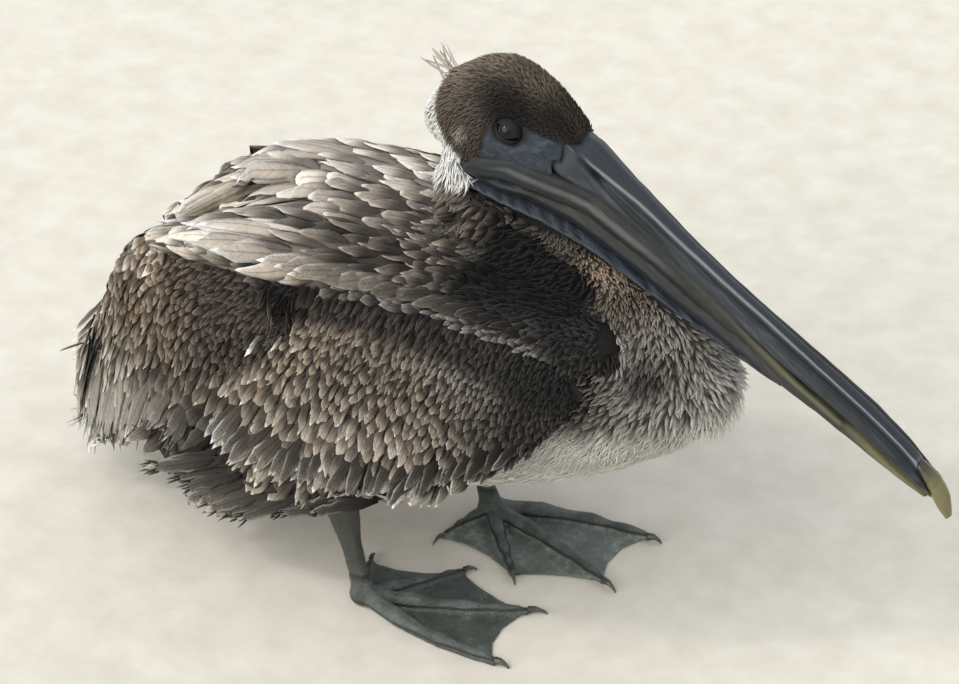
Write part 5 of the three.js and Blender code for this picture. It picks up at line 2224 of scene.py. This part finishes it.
@dataclass
class Eyes:
    """Two wet eyes, half shut between thick lids."""

    ball: float = 7.6
    lid: float = 0.45
    around: int = 40
    opening: tuple[float, float] = (19.0, 30.0)  # how far the lids open above and below, in degrees
    tilt: float = -28.0  # how the slit leans, in degrees

    def build(self) -> None:
        """Makes both eyes and their lids."""
        eye_finish = EyeFinish().build()
        lid_finish = SkinFinish("lid_skin").build()
        for name, side in (("right", -1), ("left", 1)):
            centre = middle_of("eye_" + name)
            self._ball(name, centre, side, eye_finish)
            self._lids(name, centre, side, lid_finish)

    def _basis(self, side: int) -> tuple[Array, Array, Array]:
        """The eye's own directions.

        Args:
            side: -1 for the right eye, 1 for the left.

        Returns:
            Out, along the slit and up.
        """
        out = unit(np.array((0.1, side * 1.0, 0.12)))
        lean = math.radians(self.tilt)
        slit = unit(np.array((math.cos(lean), 0.0, math.sin(lean))))
        slit = unit(slit - out * (slit @ out))
        return out, slit, np.cross(slit, out) * -side

    def _ball(self, name: str, centre: Array, side: int, finish: Material) -> None:
        """One eyeball with a slight bulge over the pupil.

        Args:
            name: the side's name.
            centre: the eye's middle.
            side: -1 for the right eye, 1 for the left.
            finish: the material.
        """
        out, slit, rise = self._basis(side)
        rings, around = 24, self.around
        turn = np.linspace(0, 2 * math.pi, around, endpoint=False)
        points, far = [centre + out * (self.ball + 0.5)], [0.0]
        for i in range(1, rings):
            angle = math.pi * i / rings
            radius = self.ball + 0.5 * math.exp(-((angle / 0.55) ** 2))
            ring = np.cos(turn)[:, None] * slit + np.sin(turn)[:, None] * rise
            points += list(centre + radius * (math.cos(angle) * out + math.sin(angle) * ring))
            far += [min(1.0, angle / 1.3)] * around
        points.append(centre - out * self.ball)
        far.append(1.0)
        index = np.arange(around)
        after = (index + 1) % around
        firsts = range(1, 1 + (rings - 2) * around, around)
        quads = [np.stack((index, after, around + after, around + index), axis=1) + i for i in firsts]
        last = 1 + (rings - 2) * around
        front = np.stack((np.zeros(around, int), 1 + after, 1 + index), axis=1)
        rear = np.stack((np.full(around, len(points) - 1), last + index, last + after), axis=1)
        faces = [np.concatenate(quads)[:, ::side], front[:, ::side], rear[:, ::side]]
        made = Form(np.array(points), faces, {"far": np.array(far)}).build("eyeball_" + name, finish, "eyes")
        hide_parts("eye_" + name)

    def _lids(self, name: str, centre: Array, side: int, finish: Material) -> None:
        """Two thick lids that meet at the corners of the eye.

        Args:
            name: the side's name.
            centre: the eye's middle.
            side: -1 for the right eye, 1 for the left.
            finish: the material.
        """
        out, slit, rise = self._basis(side)
        across = np.linspace(-1, 1, 29)
        forms = []
        for up, opening in ((1, self.opening[0]), (-1, self.opening[1])):
            depth = np.linspace(0, 1, 9)
            rows = []
            for shell in (self.ball + 0.25, self.ball + 0.25 + self.lid):
                for t in depth:
                    angle = across * math.radians(80)
                    open_here = math.radians(opening) * np.sqrt(np.maximum(0, 1 - across**2))
                    lift = open_here + t * (math.radians(82) - open_here)
                    swell = shell + 0.35 * math.sin(math.pi * min(1.0, t * 3)) * (shell > self.ball + 0.5)
                    row = (np.cos(angle) * np.cos(lift))[:, None] * out + np.sin(angle)[:, None] * slit
                    row = row + (np.cos(angle) * np.sin(lift) * up)[:, None] * rise
                    rows.append(centre + unit(row) * swell)
            points = np.concatenate(rows)
            forms.append((points, self._grid(len(across), len(depth), up * side)))
        points = np.concatenate([p for p, _ in forms])
        faces = np.concatenate([forms[0][1], forms[1][1] + len(forms[0][0])])
        ground = np.tile((*paint("101317"), 1.0), (len(points), 1))
        values = {"ground": ground, "bare": np.full(len(points), 0.34)}
        Form(points, [faces], values).build("lids_" + name, finish, "head_feathers")

    @staticmethod
    def _grid(wide: int, deep: int, turn: int) -> Array:
        """Faces of a closed slab of two grids of points.

        Args:
            wide: points along a row.
            deep: rows in a grid.
            turn: 1, or -1 to turn the faces over.

        Returns:
            The four-sided faces.
        """
        order = list(range(deep)) + list(range(2 * deep - 1, deep - 1, -1))
        faces = []
        for i in range(len(order)):
            a, b = order[i] * wide, order[(i + 1) % len(order)] * wide
            faces += [(a + k, a + k + 1, b + k + 1, b + k) for k in range(wide - 1)]
        for k in (0, wide - 1):
            for i in range(deep - 1):
                a, b = i * wide + k, (i + 1) * wide + k
                face = (a, b, b + deep * wide, a + deep * wide)
                faces.append(face if k == 0 else face[::-1])
        return np.array(faces)[:, ::-turn]


# ---- Legs, feet and claws ----


@dataclass
class Legs:
    """Both legs with their webbed feet and claws, fine from the CAD's own shapes."""

    voxel: float = 1.15
    claw_voxel: float = 0.45
    calf: float = 2.6  # how far the shank swells towards the thigh
    drawn_in: float = 1.6  # how far the claws are moved towards the ankle, into the toes

    def build(self) -> None:
        """Makes each leg and its claws."""
        skin = LegFinish().build()
        horn = NailFinish("claw_horn", "2a2925", "4e4c44").build()
        for name in ("right", "left"):
            self._leg(name, skin)
            self._claws(name, horn)

    def _leg(self, name: str, finish: Material) -> None:
        """One shank, its toes and its webs as one skin.

        Args:
            name: the side's name.
            finish: the legs' material.
        """
        nodes = ["shank_" + name, "foot_" + name]
        points, triangles, _ = stacked(nodes)
        surface = remeshed(points, triangles, self.voxel)
        surface.relaxed(7, np.where(surface.points[:, 2] < 0.8, 0.0, 0.5))
        x, y, z = surface.points.T
        heel = middle_of("foot_" + name)
        toe = ease(3.4, 6.0, z) * (1 - ease(16, 24, z))
        shank = ease(14, 22, z)
        far = np.hypot(x - heel[0], y - heel[1])
        wrinkles = ripples(surface.points * np.array((1, 1, 0.3)), 9, 21) * 0.16 * ease(1.6, 2.4, z)
        rings = np.sin(z * 1.25 + 1.2 * ripples(surface.points, 12, 22)) * 0.08 * shank
        plates = np.sin(far * 1.3) * 0.02 * toe
        beside = ease(0.02, 0.3, toe) * (1 - ease(0.5, 0.9, toe))
        surface.pushed(wrinkles + rings + plates - 0.5 * beside + self.calf * ease(28, 72, z))
        surface.points[:, 2] = np.maximum(surface.points[:, 2], 0.0)
        surface.build("leg_" + name, finish, "leg_skin", nodes, {"toe": toe, "far": far})

    def _claws(self, name: str, finish: Material) -> None:
        """The four claws of a foot, smooth and hooked.

        Args:
            name: the side's name.
            finish: the claws' material.
        """
        ankle = middle_of("shank_" + name)[:2]
        for toe in ("hind", "inner", "middle", "outer"):
            node = f"claw_{name}_{toe}"
            surface = remeshed(*node_arrays(node), self.claw_voxel).relaxed(4)
            far = np.hypot(*(surface.points[:, :2] - ankle).T)
            share = (far - far.min()) / max(1.0, far.max() - far.min())
            hook = np.zeros_like(surface.points)
            hook[:, 2] = -0.9 * share**2
            inward = unit(ankle - surface.points[:, :2].mean(axis=0))
            surface.pushed(np.full(len(share), -0.1))
            surface.points = surface.points + hook + np.array((*inward, 0.0)) * self.drawn_in
            surface.points[:, 2] = np.maximum(surface.points[:, 2], 0.0)
            surface.build(f"nail_{name}_{toe}", finish, "claws", (node,), {"far": share})


# ---- Floor, light and camera ----


@dataclass
class Studio:
    """A pale floor, soft light and the camera."""

    azimuth: float = 30.0
    elevation: float = 33.0
    distance: float = 2.5
    lens: float = 153.9
    aim: Triple = (37.0, 0.0, 169.0)  # what the camera looks at, in the bird's millimetres
    sky: float = 0.78
    sun: float = 2.0

    def build(self) -> None:
        """Makes the floor, the lights and the camera."""
        scene = bpy.context.scene
        scene.view_settings.view_transform = "Standard"
        self._floor()
        self._light()
        a, e = math.radians(self.azimuth), math.radians(self.elevation)
        back = Vector((math.sin(a) * math.cos(e), -math.cos(a) * math.cos(e), math.sin(e)))
        camera = bpy.data.objects.new("camera", bpy.data.cameras.new("camera"))
        scene.collection.objects.link(camera)
        camera.location = Vector(to_world(np.array(self.aim))) + back * self.distance
        camera.rotation_euler = (-back).to_track_quat("-Z", "Y").to_euler()
        camera.data.lens = self.lens
        camera.data.sensor_width = 36.0
        scene.camera = camera

    def _floor(self) -> None:
        """A large plane under the feet."""
        half = 6.0
        mesh = bpy.data.meshes.new("floor")
        corners = [(-half, -half, 0), (half, -half, 0), (half, half, 0), (-half, half, 0)]
        mesh.from_pydata(corners, [], [(0, 1, 2, 3)])
        floor = bpy.data.objects.new("floor", mesh)
        floor.data.materials.append(FloorFinish().build())
        bpy.context.scene.collection.objects.link(floor)

    def _light(self) -> None:
        """An even sky, a broad soft lamp half way up on the bird's right, and a weak one for glints."""
        world = bpy.data.worlds.new("sky")
        bpy.context.scene.world = world
        world.use_nodes = True
        background = world.node_tree.nodes["Background"]
        background.inputs["Color"].default_value = (0.93, 0.97, 1.0, 1.0)
        background.inputs["Strength"].default_value = self.sky
        self._lamp("lamp", self.sun, 60.0, (-0.3, -0.75, 0.6))
        self._lamp("small_lamp", 0.45, 5.0, (-0.5, -0.5, 0.72))

    def _lamp(self, name: str, strength: float, angle: float, toward: Triple) -> None:
        """Hangs one far lamp.

        Args:
            name: the lamp's name.
            strength: how bright it is.
            angle: how wide it looks, in degrees.
            toward: the direction in which it is seen.
        """
        lamp = bpy.data.lights.new(name, "SUN")
        lamp.energy = strength
        lamp.angle = math.radians(angle)
        lamp.color = (1.0, 0.97, 0.92)
        placed = bpy.data.objects.new(name, lamp)
        placed.rotation_euler = Vector(toward).to_track_quat("Z", "Y").to_euler()
        bpy.context.scene.collection.objects.link(placed)


def main() -> None:
    """Builds the pelican."""
    logging.basicConfig(level=logging.INFO, format="%(name)s %(relativeCreated)d ms: %(message)s")
    Studio().build()
    Bill().build()
    Eyes().build()
    Legs().build()
    skin = Skin()
    skin.build()
    LOG.info("skin: %d faces", len(skin.surface.quads))
    Plumage(skin).build()


if __name__ == "__main__":
    main()
